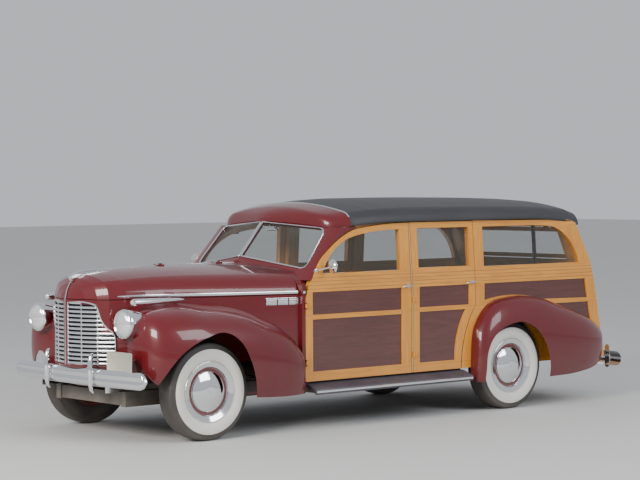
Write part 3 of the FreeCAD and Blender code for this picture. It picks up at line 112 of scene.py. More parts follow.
# %% Helpers: lathe and sweep
def lathe(profile, centre, axis, count=48, closed=False):
    """Turns (distance along axis, radius) pairs about an axis through centre."""
    axis = Vector(axis).normalized()
    first = axis.orthogonal().normalized()
    second = axis.cross(first)
    rows = []
    for along, radius in profile:
        row = []
        for step in range(count):
            angle = 2 * math.pi * step / count
            spoke = first * math.cos(angle) + second * math.sin(angle)
            row.append(Vector(centre) + axis * along + spoke * radius)
        rows.append(row)
    return skin(rows, True, closed)


def sweep(path, section, up, sizes=None, closed=False):
    """Carries a section of (side, up) pairs along a path; sizes scale it at each point."""
    up = Vector(up)
    rows = []
    count = len(path)
    for index, point in enumerate(path):
        before = path[(index - 1) % count if closed else max(index - 1, 0)]
        after = path[(index + 1) % count if closed else min(index + 1, count - 1)]
        along = (Vector(after) - Vector(before)).normalized()
        side = along.cross(up).normalized()
        top = side.cross(along)
        scale = sizes[index] if sizes else 1.0
        rows.append([Vector(point) + side * (u * scale) + top * (v * scale) for u, v in section])
    return skin(rows, True, closed)


def ring_section(radius, count=8, flat=1.0):
    """A round or flattened section for a sweep."""
    turns = [2 * math.pi * step / count for step in range(count)]
    return [(radius * math.cos(turn), radius * flat * math.sin(turn)) for turn in turns]


print("lathe and sweep are ready")

# %% [markdown]
# Flat parts start as outlines. A round between two corners is written as one middle point, so an outline
# stays as short as on a drawing. The left side of the car is made once and mirrored for the right.

# %% Helpers: outlines, boxes and mirror images
def box(low, high):
    """A box from its two corners."""
    (x0, y0, z0), (x1, y1, z1) = low, high
    rows = [[(x, y0, z0), (x, y1, z0), (x, y1, z1), (x, y0, z1)] for x in (x0, x1)]
    return skin([[Vector(p) for p in row] for row in rows], True, False)


def rounded(outline, steps=8):
    """Points of an outline in which ("arc", u, v) is the middle of a round between its neighbours."""
    points = []
    for index, entry in enumerate(outline):
        if entry[0] != "arc":
            points.append(Vector(entry))
            continue
        start, middle = points[-1], Vector(entry[1:])
        end = Vector(outline[(index + 1) % len(outline)])
        chord = end - start
        normal = Vector((-chord.y, chord.x)).normalized()
        rise = (middle - start).dot(normal)
        along = (middle - start).dot(chord.normalized())
        for step in range(1, steps):
            t = step / steps
            bulge = 4 * t * (1 - t) * rise
            shift = 4 * t * (1 - t) * (along - chord.length / 2)
            points.append(start + chord * t + normal * bulge + chord.normalized() * shift)
    return points


def sheet_between(outline, x_low, x_high):
    """A plate that fills an outline of (y, z) pairs, between two X values."""
    rows = [[Vector((x, p[0], p[1])) for p in outline] for x in (x_low, x_high)]
    return skin(rows, True, False)


def mirrored(part):
    """The same part on the other side of the car, with its faces turned to look outward."""
    vertices, faces = part
    return [Vector((-v[0], v[1], v[2])) for v in vertices], [tuple(reversed(face)) for face in faces]


def spaced(low, high, count):
    """Evenly spaced values from low to high."""
    return [low + (high - low) * index / (count - 1) for index in range(count)]


print("outlines and mirror images are ready")

# %% [markdown]
# Trim has to lie on the panel that carries it. A ray against the CAD mesh finds that place, so nothing is
# copied by hand. A tree of the node's faces makes the many rays quick.

# %% Helper: a point on a CAD node
TREES = {}


def surface(node, start, way):
    """Where a ray from start first meets a CAD node, or None."""
    if node not in TREES:
        mesh = NODES[node].data
        TREES[node] = BVHTree.FromPolygons([v.co for v in mesh.vertices], [p.vertices for p in mesh.polygons])
    return TREES[node].ray_cast(Vector(start), Vector(way))[0]


print("rays can measure", len(NODES), "nodes")

# %% [markdown]
# Materials are networks of nodes. A short helper adds a node and wires its inputs, so that a material
# reads like a recipe. Effects that several finishes share are groups with named sockets.

# %% Helpers: nodes and sums
def add(tree, kind, inputs=None, **settings):
    made = tree.nodes.new("ShaderNode" + kind)
    for key, value in settings.items():
        setattr(made, key, value)
    for key, value in (inputs or {}).items():
        if isinstance(value, bpy.types.NodeSocket):
            tree.links.new(value, made.inputs[key])
        else:
            made.inputs[key].default_value = value
    return made


def maths(tree, operation, a, b=0.0, c=0.0, clamp=False):
    """One step of arithmetic on values or sockets."""
    return add(tree, "Math", {0: a, 1: b, 2: c}, operation=operation, use_clamp=clamp).outputs[0]


def blend(tree, amount, a, b):
    """Mixes two colours."""
    return add(tree, "Mix", {0: amount, 6: a, 7: b}, data_type="RGBA").outputs[2]


def band(tree, value, low, high, soft=0.001):
    """One between low and high, nought outside."""
    rise = maths(tree, "MULTIPLY_ADD", value, 1 / soft, -low / soft, clamp=True)
    fall = maths(tree, "MULTIPLY_ADD", value, -1 / soft, high / soft, clamp=True)
    return maths(tree, "MULTIPLY", rise, fall)


print("node helpers are ready")

# %% [markdown]
# A group is a small network with named sockets that many finishes share. It only measures or colours. The
# shader itself stays in each material, where the export can read it.

# %% Helpers: groups and materials
def new_group(name, inputs, outputs):
    """An empty group with its named sockets, its inputs and its outputs."""
    group = bpy.data.node_groups.new(name, "ShaderNodeTree")
    for label, kind, value in inputs:
        made = group.interface.new_socket(label, in_out="INPUT", socket_type="NodeSocket" + kind)
        if value is not None:
            made.default_value = value
    for label, kind in outputs:
        group.interface.new_socket(label, in_out="OUTPUT", socket_type="NodeSocket" + kind)
    return group, group.nodes.new("NodeGroupInput").outputs, group.nodes.new("NodeGroupOutput").inputs


def place_group(tree, group, inputs):
    """A shared group, placed in a material with values of its own."""
    return add(tree, "Group", inputs, node_tree=group)


def new_material(name):
    """An empty material, its tree, its shader and the object coordinates."""
    material = bpy.data.materials.new(name)
    material.use_nodes = True
    tree = material.node_tree
    shader = tree.nodes["Principled BSDF"]
    place = tree.nodes.new("ShaderNodeTexCoord").outputs["Object"]
    return material, tree, shader, place


def bump(tree, shader, height, strength, distance=0.001):
    """Fine relief that only the light sees."""
    made = add(tree, "Bump", {"Height": height, "Strength": strength, "Distance": distance})
    tree.links.new(made.outputs[0], shader.inputs["Normal"])


print("groups and materials can be made")

# %% [markdown]
# Varnished timber shows long growth bands, finer pores and a slight change of tone from board to board.
# The group stretches noise along one axis, so each board can run its grain along its own length.

# %% Group: timber figure
def make_timber_figure():
    group, given, result = new_group(
        "timber_figure",
        [("Place", "Vector", None), ("Pale", "Color", (0.6, 0.3, 0.1, 1)), ("Deep", "Color", (0.4, 0.15, 0.04, 1)),
         ("Upright", "Float", 0.0)],
        [("Colour", "Color"), ("Roughness", "Float"), ("Height", "Float")],
    )
    apart = add(group, "SeparateXYZ", {0: given["Place"]}).outputs
    level = add(group, "CombineXYZ", {0: apart[0], 1: apart[1], 2: apart[2]}).outputs[0]
    upright = add(group, "CombineXYZ", {0: apart[0], 1: apart[2], 2: apart[1]}).outputs[0]
    turned = add(group, "Mix", {0: given["Upright"], 4: level, 5: upright}, data_type="VECTOR").outputs[1]
    bands = add(group, "VectorMath", {0: turned, 1: (34, 1.6, 34)}, operation="MULTIPLY").outputs[0]
    pores = add(group, "VectorMath", {0: turned, 1: (420, 9, 420)}, operation="MULTIPLY").outputs[0]
    broad = add(group, "TexNoise", {"Vector": bands, "Scale": 1.0, "Detail": 3.0, "Distortion": 0.6}).outputs[0]
    fine = add(group, "TexNoise", {"Vector": pores, "Scale": 1.0, "Detail": 2.0}).outputs[0]
    cloud = add(group, "TexNoise", {"Vector": given["Place"], "Scale": 2.3, "Detail": 1.0}).outputs[0]
    rings = maths(group, "PINGPONG", maths(group, "MULTIPLY", broad, 7.0), 1.0)
    share = maths(group, "MULTIPLY_ADD", rings, 0.42, maths(group, "MULTIPLY_ADD", fine, 0.5, -0.22), clamp=True)
    share = maths(group, "MULTIPLY_ADD", cloud, 0.5, maths(group, "SUBTRACT", share, 0.25), clamp=True)
    group.links.new(blend(group, share, given["Pale"], given["Deep"]), result["Colour"])
    group.links.new(maths(group, "MULTIPLY_ADD", fine, 0.12, 0.2), result["Roughness"])
    group.links.new(maths(group, "MULTIPLY_ADD", rings, 0.4, fine), result["Height"])
    return group


TIMBER_FIGURE = make_timber_figure()
print("group", TIMBER_FIGURE.name)

# %% [markdown]
# Paint, chrome and rubber outdoors are never quite clean. This group gives a slow cloudy change, a fine
# speckle, and road dust that gathers towards the ground.

# %% Group: road film
def make_road_film():
    group, given, result = new_group(
        "road_film",
        [("Place", "Vector", None), ("Clean", "Color", (0.5, 0.5, 0.5, 1)), ("Dust", "Color", (0.35, 0.3, 0.25, 1)),
         ("Amount", "Float", 0.1), ("Top", "Float", 0.6)],
        [("Colour", "Color"), ("Share", "Float"), ("Cloud", "Float"), ("Speckle", "Float")],
    )
    height = add(group, "SeparateXYZ", {0: given["Place"]}).outputs[2]
    low = maths(group, "SUBTRACT", 1.0, maths(group, "DIVIDE", height, given["Top"]), clamp=True)
    cloud = add(group, "TexNoise", {"Vector": given["Place"], "Scale": 5.0, "Detail": 4.0}).outputs[0]
    speckle = add(group, "TexNoise", {"Vector": given["Place"], "Scale": 900.0, "Detail": 1.0}).outputs[0]
    share = maths(group, "MULTIPLY", maths(group, "ADD", low, 0.12), maths(group, "MULTIPLY", cloud, given["Amount"]))
    share = maths(group, "MULTIPLY", share, 2.0, clamp=True)
    group.links.new(blend(group, share, given["Clean"], given["Dust"]), result["Colour"])
    group.links.new(share, result["Share"])
    group.links.new(cloud, result["Cloud"])
    group.links.new(speckle, result["Speckle"])
    return group


ROAD_FILM = make_road_film()
print("group", ROAD_FILM.name)

# %% [markdown]
# Everything on a wheel depends on its distance from the axle. The group measures that distance, so that
# a whitewall, a painted disc and a bright ring are bands of radius.

# %% Group: from axle
def make_from_axle():
    group, given, result = new_group(
        "from_axle",
        [("Place", "Vector", None), ("Axle", "Vector", (0, 0, 0))],
        [("Radius", "Float"), ("Turn", "Float"), ("Outward", "Float")],
    )
    away = add(group, "VectorMath", {0: given["Place"], 1: given["Axle"]}, operation="SUBTRACT").outputs[0]
    apart = add(group, "SeparateXYZ", {0: away}).outputs
    squares = maths(group, "MULTIPLY_ADD", apart[1], apart[1], maths(group, "MULTIPLY", apart[2], apart[2]))
    group.links.new(maths(group, "SQRT", squares), result["Radius"])
    group.links.new(maths(group, "ARCTAN2", apart[2], apart[1]), result["Turn"])
    side = add(group, "SeparateXYZ", {0: given["Axle"]}).outputs[0]
    group.links.new(maths(group, "MULTIPLY", apart[0], maths(group, "SIGN", side)), result["Outward"])
    return group


FROM_AXLE = make_from_axle()
print("group", FROM_AXLE.name)

# %% [markdown]
# Paint of the time was sprayed thick and rubbed out: a deep base colour under a clear coat, with a faint
# orange peel. Chrome is nearly a mirror, dulled a little where the film settles.

# %% Materials: paint and bright metal
MAROON = (0.118, 0.0025, 0.007, 1)


def painted(name, colour, rough=0.3, dust=0.07, coat=0.75):
    material, tree, shader, place = new_material(name)
    film = place_group(tree, ROAD_FILM, {"Place": place, "Clean": colour, "Amount": dust}).outputs
    tree.links.new(film["Colour"], shader.inputs["Base Color"])
    tree.links.new(maths(tree, "MULTIPLY_ADD", film["Cloud"], 0.08, rough), shader.inputs["Roughness"])
    shader.inputs["Specular IOR Level"].default_value = 0.3
    shader.inputs["Coat Weight"].default_value = coat
    shader.inputs["Coat Roughness"].default_value = 0.03
    bump(tree, shader, film["Speckle"], 0.015)
    return material


def bright(name, colour, rough=0.06):
    material, tree, shader, place = new_material(name)
    film = place_group(tree, ROAD_FILM, {"Place": place, "Clean": colour, "Amount": 0.06, "Top": 0.5}).outputs
    tree.links.new(film["Colour"], shader.inputs["Base Color"])
    tree.links.new(maths(tree, "MULTIPLY_ADD", film["Cloud"], 0.08, rough), shader.inputs["Roughness"])
    shader.inputs["Metallic"].default_value = 1.0
    bump(tree, shader, film["Speckle"], 0.01)
    return material


MAROON_PAINT = painted("maroon_paint", MAROON)
CHASSIS_PAINT = painted("chassis_black", (0.012, 0.012, 0.013, 1), 0.45, 0.5, 0.2)
DASH_PAINT = painted("dash_brown", (0.10, 0.045, 0.02, 1), 0.3, 0.02)
CHROME = bright("bright_plating", (0.80, 0.81, 0.83, 1))
DULL_STEEL = bright("dull_steel", (0.30, 0.30, 0.31, 1), 0.35)
print("paint and metal ready")

# %% [markdown]
# The body's boards are ash: rails run along the car and posts run upright. Each board could have its own
# material, but the rails lie at known heights, so one material turns its grain by height. The belt rail
# has long shallow grooves, only on its outer face, bumped in and darkened with painted shade. The panels
# are a dark veneer.

# %% Materials: timber and veneer
RAIL_BANDS = [(0.0, 0.432), (0.824, 0.869), (1.030, 1.172), (1.478, 1.8)]
GROOVES = (1.052, 1.080, 1.108, 1.136)
GROOVE_HALF, WALL_INSIDE = 0.0022, 0.755
ASH_PALE, ASH_DEEP = (0.74, 0.310, 0.036, 1), (0.46, 0.150, 0.014, 1)


def ash_boards():
    material, tree, shader, place = new_material("varnished_ash")
    apart = add(tree, "SeparateXYZ", {0: place}).outputs
    level = 0.0
    for low, high in RAIL_BANDS:
        level = maths(tree, "ADD", band(tree, apart[2], low, high), level, clamp=True)
    upright = maths(tree, "SUBTRACT", 1.0, level)
    figure = place_group(
        tree, TIMBER_FIGURE, {"Place": place, "Pale": ASH_PALE, "Deep": ASH_DEEP, "Upright": upright}
    ).outputs
    groove = 0.0
    for height in GROOVES:
        line = band(tree, apart[2], height - GROOVE_HALF, height + GROOVE_HALF, 0.0012)
        groove = maths(tree, "ADD", line, groove)
    outer = maths(tree, "GREATER_THAN", maths(tree, "ABSOLUTE", apart[0]), WALL_INSIDE)
    groove = maths(tree, "MULTIPLY", groove, outer)
    # The grooves are darkened towards near-black brown: painted shade in recesses that are only a bump.
    colour = blend(tree, maths(tree, "MULTIPLY", groove, 0.75), figure["Colour"], (0.09, 0.03, 0.008, 1))
    tree.links.new(colour, shader.inputs["Base Color"])
    tree.links.new(figure["Roughness"], shader.inputs["Roughness"])
    shader.inputs["Coat Weight"].default_value = 0.7
    shader.inputs["Coat Roughness"].default_value = 0.08
    bump(tree, shader, maths(tree, "MULTIPLY_ADD", groove, -6.0, figure["Height"]), 0.25, 0.0006)
    return material


def veneer(name, pale, deep):
    material, tree, shader, place = new_material(name)
    figure = place_group(tree, TIMBER_FIGURE, {"Place": place, "Pale": pale, "Deep": deep}).outputs
    tree.links.new(figure["Colour"], shader.inputs["Base Color"])
    tree.links.new(figure["Roughness"], shader.inputs["Roughness"])
    shader.inputs["Coat Weight"].default_value = 0.6
    shader.inputs["Coat Roughness"].default_value = 0.1
    bump(tree, shader, figure["Height"], 0.12, 0.0005)
    return material


ASH = ash_boards()
VENEER = veneer("dark_veneer", (0.115, 0.034, 0.028, 1), (0.050, 0.014, 0.013, 1))
print("timber ready")

# %% [markdown]
# The roof is a black coated fabric with a fine grain, and the seats are red leather with small cells. Cells
# of noise give both: what differs is their size, their depth and the change of tone.

# %% Materials: roof fabric and leather
def coated_fabric():
    material, tree, shader, place = new_material("coated_roof_fabric")
    grain = add(tree, "TexVoronoi", {"Vector": place, "Scale": 260.0}).outputs["Distance"]
    cloud = add(tree, "TexNoise", {"Vector": place, "Scale": 3.0, "Detail": 5.0}).outputs[0]
    colour = blend(tree, cloud, (0.022, 0.021, 0.026, 1), (0.044, 0.042, 0.050, 1))
    tree.links.new(colour, shader.inputs["Base Color"])
    tree.links.new(maths(tree, "MULTIPLY_ADD", cloud, 0.15, 0.42), shader.inputs["Roughness"])
    bump(tree, shader, grain, 0.35, 0.0006)
    return material


def leather(name, pale, deep):
    material, tree, shader, place = new_material(name)
    cells = add(tree, "TexVoronoi", {"Vector": place, "Scale": 420.0}).outputs["Distance"]
    cloud = add(tree, "TexNoise", {"Vector": place, "Scale": 9.0, "Detail": 4.0}).outputs[0]
    tree.links.new(blend(tree, cloud, pale, deep), shader.inputs["Base Color"])
    tree.links.new(maths(tree, "MULTIPLY_ADD", cloud, 0.2, 0.32), shader.inputs["Roughness"])
    bump(tree, shader, maths(tree, "ADD", cells, cloud), 0.3, 0.0005)
    return material


ROOF_FABRIC = coated_fabric()
RED_LEATHER = leather("red_leather", (0.36, 0.045, 0.030, 1), (0.22, 0.020, 0.016, 1))
print("fabric and leather ready")

# %% [markdown]
# The running boards have moulded rubber ribs, drawn by folding the width into a zigzag. Glass is thin and
# clear, so it is mostly see-through, with a faint smear and a clear coat that gives it a sharp reflection.

# %% Materials: rubber and glass
def ribbed_rubber():
    material, tree, shader, place = new_material("ribbed_board_cover")
    apart = add(tree, "SeparateXYZ", {0: place}).outputs
    rib = maths(tree, "PINGPONG", apart[0], 0.006)
    film = place_group(tree, ROAD_FILM, {"Place": place, "Clean": (0.016, 0.018, 0.045, 1), "Amount": 0.25}).outputs
    tree.links.new(film["Colour"], shader.inputs["Base Color"])
    tree.links.new(maths(tree, "MULTIPLY_ADD", film["Cloud"], 0.2, 0.4), shader.inputs["Roughness"])
    bump(tree, shader, maths(tree, "MULTIPLY", rib, 160.0), 0.8, 0.002)
    return material


def clear_glass(name, tint, alpha):
    material, tree, shader, place = new_material(name)
    smear = add(tree, "TexNoise", {"Vector": place, "Scale": 6.0, "Detail": 6.0}).outputs[0]
    tree.links.new(blend(tree, smear, tint, (0.16, 0.20, 0.19, 1)), shader.inputs["Base Color"])
    tree.links.new(maths(tree, "MULTIPLY_ADD", smear, 0.03, 0.0), shader.inputs["Roughness"])
    shader.inputs["Alpha"].default_value = alpha
    shader.inputs["Coat Weight"].default_value = 1.0
    shader.inputs["Coat Roughness"].default_value = 0.02
    return material


BOARD_COVER = ribbed_rubber()
WINDOW_GLASS = clear_glass("window_glass", (0.10, 0.14, 0.13, 1), 0.13)
BLACK_RUBBER = leather("black_rubber", (0.016, 0.016, 0.017, 1), (0.028, 0.028, 0.030, 1))
print("rubber and glass ready")

# %% [markdown]
# A tyre has a white band on its side, a black shoulder and a worn dusty tread. The disc behind it is
# painted, with a bright ring at its rim and a domed bright cap.

# %% Materials: wheels and tyres
WHITE_BAND = (0.200, 0.3085)
RING_INSIDE, CAP_RADIUS, RIM_RADIUS = 0.171, 0.1455, 0.3


def tyre_rubber(name, axle):
    material, tree, shader, place = new_material(name)
    measure = place_group(tree, FROM_AXLE, {"Place": place, "Axle": axle}).outputs
    film = place_group(
        tree, ROAD_FILM, {"Place": place, "Clean": (0.014, 0.014, 0.015, 1), "Amount": 0.18, "Top": 0.8}
    ).outputs
    white = maths(
        tree, "MULTIPLY",
        band(tree, measure["Radius"], *WHITE_BAND, 0.0012),
        maths(tree, "GREATER_THAN", measure["Outward"], 0.02),
    )
    chalk = blend(tree, film["Cloud"], (0.80, 0.79, 0.74, 1), (0.66, 0.63, 0.56, 1))
    tree.links.new(blend(tree, white, film["Colour"], chalk), shader.inputs["Base Color"])
    tree.links.new(maths(tree, "MULTIPLY_ADD", film["Cloud"], 0.2, 0.5), shader.inputs["Roughness"])
    lines = maths(tree, "PINGPONG", measure["Radius"], 0.004)
    bump(tree, shader, maths(tree, "MULTIPLY_ADD", lines, 60.0, film["Speckle"]), 0.12)
    return material


def wheel_finish(name, axle):
    material, tree, shader, place = new_material(name)
    measure = place_group(tree, FROM_AXLE, {"Place": place, "Axle": axle}).outputs
    film = place_group(tree, ROAD_FILM, {"Place": place, "Clean": MAROON, "Amount": 0.2, "Top": 0.7}).outputs
    outer = maths(tree, "GREATER_THAN", measure["Outward"], 0.0)
    ring = band(tree, measure["Radius"], RING_INSIDE, RIM_RADIUS, 0.0006)
    cap = band(tree, measure["Radius"], -1.0, CAP_RADIUS, 0.0006)
    plated = maths(tree, "MULTIPLY", maths(tree, "ADD", ring, cap, clamp=True), outer)
    tree.links.new(blend(tree, plated, film["Colour"], (0.80, 0.81, 0.83, 1)), shader.inputs["Base Color"])
    tree.links.new(plated, shader.inputs["Metallic"])
    tree.links.new(maths(tree, "MULTIPLY_ADD", plated, -0.2, 0.28), shader.inputs["Roughness"])
    shader.inputs["Coat Weight"].default_value = 0.5
    return material


AXLES = {}
for end, offset, along in (("front", 0.740, FRONT_AXLE), ("rear", 0.7525, REAR_AXLE)):
    for hand, side in SIDES:
        AXLES[f"{end}_{hand}"] = (side * offset, along, AXLE_HEIGHT)
TYRE_RUBBER = {key: tyre_rubber(f"tyre_{key}_rubber", axle) for key, axle in AXLES.items()}
WHEEL_FINISH = {key: wheel_finish(f"wheel_{key}_finish", axle) for key, axle in AXLES.items()}
print("wheels ready")

# %% [markdown]
# Each CAD node now gets the finish of the real piece. Only its material slots change, never its mesh.
# Nodes that a better piece replaces later are finished too, so that no node is left bare.

# %% Give each node its finish
def finish(names, material):
    for name in names:
        NODES[name].data.materials.clear()
        NODES[name].data.materials.append(material)


DOORS = [f"door_{end}_{hand}" for end in ("front", "rear") for hand in ("left", "right")]
SEATS = ("front_seat", "middle_seat", "rear_seat")
for names, material in (
    (["cowl_shell", "front_fenders", "rear_fenders", "nose_shell", "hood_left", "hood_right"], MAROON_PAINT),
    (["timber_frame", "liftgate", "tailgate", *DOORS], ASH),
    (["quarter_panels"], VENEER),
    (["roof_top"], ROOF_FABRIC),
    (["grille", "hood_moulding", "front_bumper", "rear_bumper"], CHROME),
    (["headlamps", "parking_lamps", "tail_lamps"], CHROME),
    (["fixed_glass", "liftgate_glass", *[name + "_glass" for name in DOORS]], WINDOW_GLASS),
    (SEATS, RED_LEATHER),
    (["chassis_frame", "front_suspension", "rear_axle", "knuckle_left", "knuckle_right"], CHASSIS_PAINT),
    (["engine_block", "fuel_tank", "floor_pan"], CHASSIS_PAINT),
    (["exhaust_pipe"], DULL_STEEL),
    (["running_boards"], BOARD_COVER),
    (["dashboard"], DASH_PAINT),
    (["steering_wheel"], BLACK_RUBBER),
):
    finish(names, material)
for key in AXLES:
    finish(["tyre_" + key], TYRE_RUBBER[key])
    finish(["wheel_" + key], WHEEL_FINISH[key])
print("finished nodes:", sum(len(node.data.materials) > 0 for node in NODES.values()), "of", len(NODES))

# %% [markdown]
# The door panels are thin veneered boards, set in grooves of the ash frame. They could be a colour on the
# door's own mesh, but a board of its own gives a true edge. Each skin lies a hair above the recess, and
# the rear door's lower panel curves round the fender.

# %% Door panels
BELT_LOW, MID_TOP, LOW_TOP = 1.030, 0.860, 0.432
FRONT_DOOR, REAR_DOOR = (station(0.934), 1.079), (station(2.033), 0.685)
BOARD_FACES = ((0.7703, 0.7713), (0.7538, 0.7547))


def panel_outlines():
    """Outlines of the boards in each pair of doors, as (y, z) pairs."""
    near, far = FRONT_DOOR[0] + 0.070, FRONT_DOOR[0] + FRONT_DOOR[1] - 0.100
    front = [
        [(near, MID_TOP), (far, MID_TOP), (far, BELT_LOW), (near, BELT_LOW)],
        [(near, LOW_TOP), (far, LOW_TOP), (far, MID_TOP - 0.036), (near, MID_TOP - 0.036)],
    ]
    near, back = REAR_DOOR[0] + 0.070, REAR_DOOR[0] + REAR_DOOR[1]
    middle = MID_TOP + 0.008
    rear = [
        [(near, middle), (back - 0.070, middle), (back - 0.070, BELT_LOW), (near, BELT_LOW)],
        [(near, LOW_TOP), (back - 0.232, LOW_TOP), ("arc", back - 0.203, 0.640), (back - 0.110, middle - 0.036),
         (near, middle - 0.036)],
    ]
    return {"front": front, "rear": rear}


PANELS = panel_outlines()
for end, outlines in PANELS.items():
    parts = []
    for outline in outlines:
        shape = rounded(outline)
        parts += [sheet_between(shape, *faces_at) for faces_at in BOARD_FACES]
    panel_set = join(parts)
    for hand, side in SIDES:
        part = panel_set if side > 0 else mirrored(panel_set)
        piece(f"panels_{end}_{hand}", *part, VENEER, f"door_{end}_{hand}", "dark_panel")
print("door panels on")

# %% [markdown]
# A long bright spear runs along the hood and on to the cowl. It is a half-round strip, pressed from thin
# metal. Its path is found by rays against the hood, so it follows the bulge of the panel.

# %% Spear on the hood and cowl
def half_round(width, proud):
    """Section of a strip: outward and along its width, sunk a little into the panel."""
    half = width / 2
    return [(-0.002, -half), (proud * 0.7, -half * 0.75), (proud, 0), (proud * 0.7, half * 0.75), (-0.002, half)]


def side_path(node, stations, height):
    """Points on a node's left side, at a height that may depend on the station."""
    level = height if callable(height) else lambda along: height
    found = [surface(node, (2, station(along), level(along)), (-1, 0, 0)) for along in stations]
    return [point for point in found if point]


def both_sides(name, part, material, bodies, slot):
    """The left piece and its mirror image, each on its own body."""
    for (hand, side), body in zip(SIDES, bodies):
        piece(f"{name}_{hand}", *(part if side > 0 else mirrored(part)), material, body, slot)


UP = (0, 0, 1)
spear_path = side_path("hood_left", spaced(-0.49, 0.888, 30), lambda along: 1.040 - 0.006 * along)
tip = [0.35, 0.7, 0.9] + [1.0] * (len(spear_path) - 3)
SPEAR, HOODS, BODY = half_round(0.024, 0.009), ["hood_left", "hood_right"], ["body", "body"]
both_sides("hood_spear", sweep(spear_path, SPEAR, UP, tip), CHROME, HOODS, "chrome")
cowl_path = side_path("cowl_shell", spaced(0.905, 0.927, 3), 1.034)
both_sides("cowl_spear", sweep(cowl_path, SPEAR, UP), CHROME, BODY, "chrome")
print("spear points:", len(spear_path), "on the hood and", len(cowl_path), "on the cowl")

# %% [markdown]
# Three bright vents stand in the side panel below the spear. Each is a thin plate with four raised bars.

# %% Vents beside the hood
vents = []
for start, end in ((0.628, 0.712), (0.722, 0.806), (0.816, 0.893)):
    plate = side_path("nose_shell", spaced(start, end, 4), 0.970)
    vents.append(sweep(plate, half_round(0.060, 0.003), UP))
    for height in (0.949, 0.963, 0.977, 0.991):
        bar = side_path("nose_shell", spaced(start + 0.003, end - 0.003, 5), height)
        vents.append(sweep(bar, half_round(0.010, 0.008), UP))
both_sides("hood_vents", join(vents), CHROME, BODY, "chrome")
print("vent plates and bars:", len(vents))

# %% [markdown]
# A bright strip covers the seam where the roof fabric starts, a black drip rail runs above the windows,
# and the running boards have a bright edge. Each is swept along points that rays found on its own node.

# %% Roof seam, drip rail and board edge
seam = []
for across in spaced(-0.742, 0.742, 45):
    point = surface("roof_top", (across, station(1.434), 2.0), (0, 0, -1))
    if point:
        seam.append(point)
seam_section = [(v, u) for u, v in half_round(0.012, 0.005)]
piece("roof_seam_strip", *sweep(seam, seam_section, UP), CHROME, "body", "chrome")

board = side_path("running_boards", spaced(0.950, 2.583, 12), 0.290)
both_sides("board_edge_strip", sweep(board, half_round(0.020, 0.003), UP), CHROME, BODY, "chrome")


def drip_height(along):
    """Height of the drip rail, which falls away at both ends of the roof."""
    return 1.5475 - max(0, along - 3.3) ** 2 * 0.09 - max(0, 1.9 - along) ** 2 * 0.11


drip = side_path("roof_top", spaced(1.440, 3.95, 40), drip_height)
both_sides("drip_moulding", sweep(drip, half_round(0.010, 0.006), UP), BLACK_RUBBER, BODY, "roof_fabric")
print("points of seam, board and drip rail:", len(seam), len(board), len(drip))

# %% [markdown]
# A pale metal capping covers the gap between the doors from sill to roof. It bends once, at the belt,
# because the side wall leans in above it.

# %% Capping between the doors
WALL_X, LEAN = 0.780, 0.0676


def wall_x(height, proud=0.0):
    """Outer face of the side wall, which leans in above the belt."""
    return WALL_X + proud - max(0.0, height - BELT_LOW) * LEAN


def capping(low_y, high_y, low, high):
    """A thin strip on the wall, folded at the belt."""
    rows = []
    for height in (low, BELT_LOW, high):
        x = wall_x(height, 0.0015)
        rows.append([Vector((x, low_y, height)), Vector((x, high_y, height)),
                     Vector((x - 0.004, high_y, height)), Vector((x - 0.004, low_y, height))])
    return skin(rows, True, False)


PALE_METAL = bright("brushed_capping", (0.78, 0.70, 0.48, 1), 0.28)
capping_strip = capping(station(2.0195), station(2.0265), 0.365, 1.532)
both_sides("post_capping", capping_strip, PALE_METAL, BODY, "chrome")
print("capping on")

# %% [markdown]
# The grille wraps round the nose, which is an upright cylinder. So a point on it needs only a distance
# across and a height. The outline is a table of half widths that widens towards the bottom.

# %% The nose and the grille's outline
NOSE_CENTRE, NOSE_RADIUS = station(-0.153), 0.527
GRILLE_EDGE = [(0.545, 0.386), (0.70, 0.388), (0.755, 0.385), (0.79, 0.374), (0.812, 0.345), (0.85, 0.320),
               (0.885, 0.304), (0.93, 0.292), (0.96, 0.284), (0.985, 0.262), (0.998, 0.215), (1.004, 0.150)]


def edge_at(height):
    """Half width of the grille's outline at a height."""
    for (low, near), (high, far) in zip(GRILLE_EDGE, GRILLE_EDGE[1:]):
        if low <= height <= high:
            return near + (far - near) * (height - low) / (high - low)
    return GRILLE_EDGE[0][1] if height < GRILLE_EDGE[0][0] else 0.12


def on_nose(across, height, proud):
    """A point on the nose, or proud of it."""
    radius = NOSE_RADIUS + proud
    return Vector((across, NOSE_CENTRE - math.sqrt(radius * radius - across * across), height))


print("grille outline:", len(GRILLE_EDGE), "heights, from", edge_at(0.545), "to", edge_at(1.004))

# %% [markdown]
# Each half of the grille is one stamping: broad rounded bars inside a narrow border, stiffened by two thin
# posts. It could be a repeated bar cut by the outline, but bars made to their own length end cleanly.

# %% Grille bars, border and posts
def nose_bar(near, far, low, high, proud, sunk):
    """A bar between two heights, rounded in front, along the nose from near to far."""
    middle, half = (low + high) / 2, (high - low) / 2
    rows = []
    for across in spaced(near, far, 14):
        row = []
        for turn in (-1.57, -1.1, -0.6, 0, 0.6, 1.1, 1.57):
            depth = proud * math.cos(turn) + sunk * (1 - math.cos(turn))
            row.append(on_nose(across, middle + half * math.sin(turn), depth))
        row += [on_nose(across, high, sunk - 0.012), on_nose(across, low, sunk - 0.012)]
        rows.append(row)
    return skin(rows, True, False)


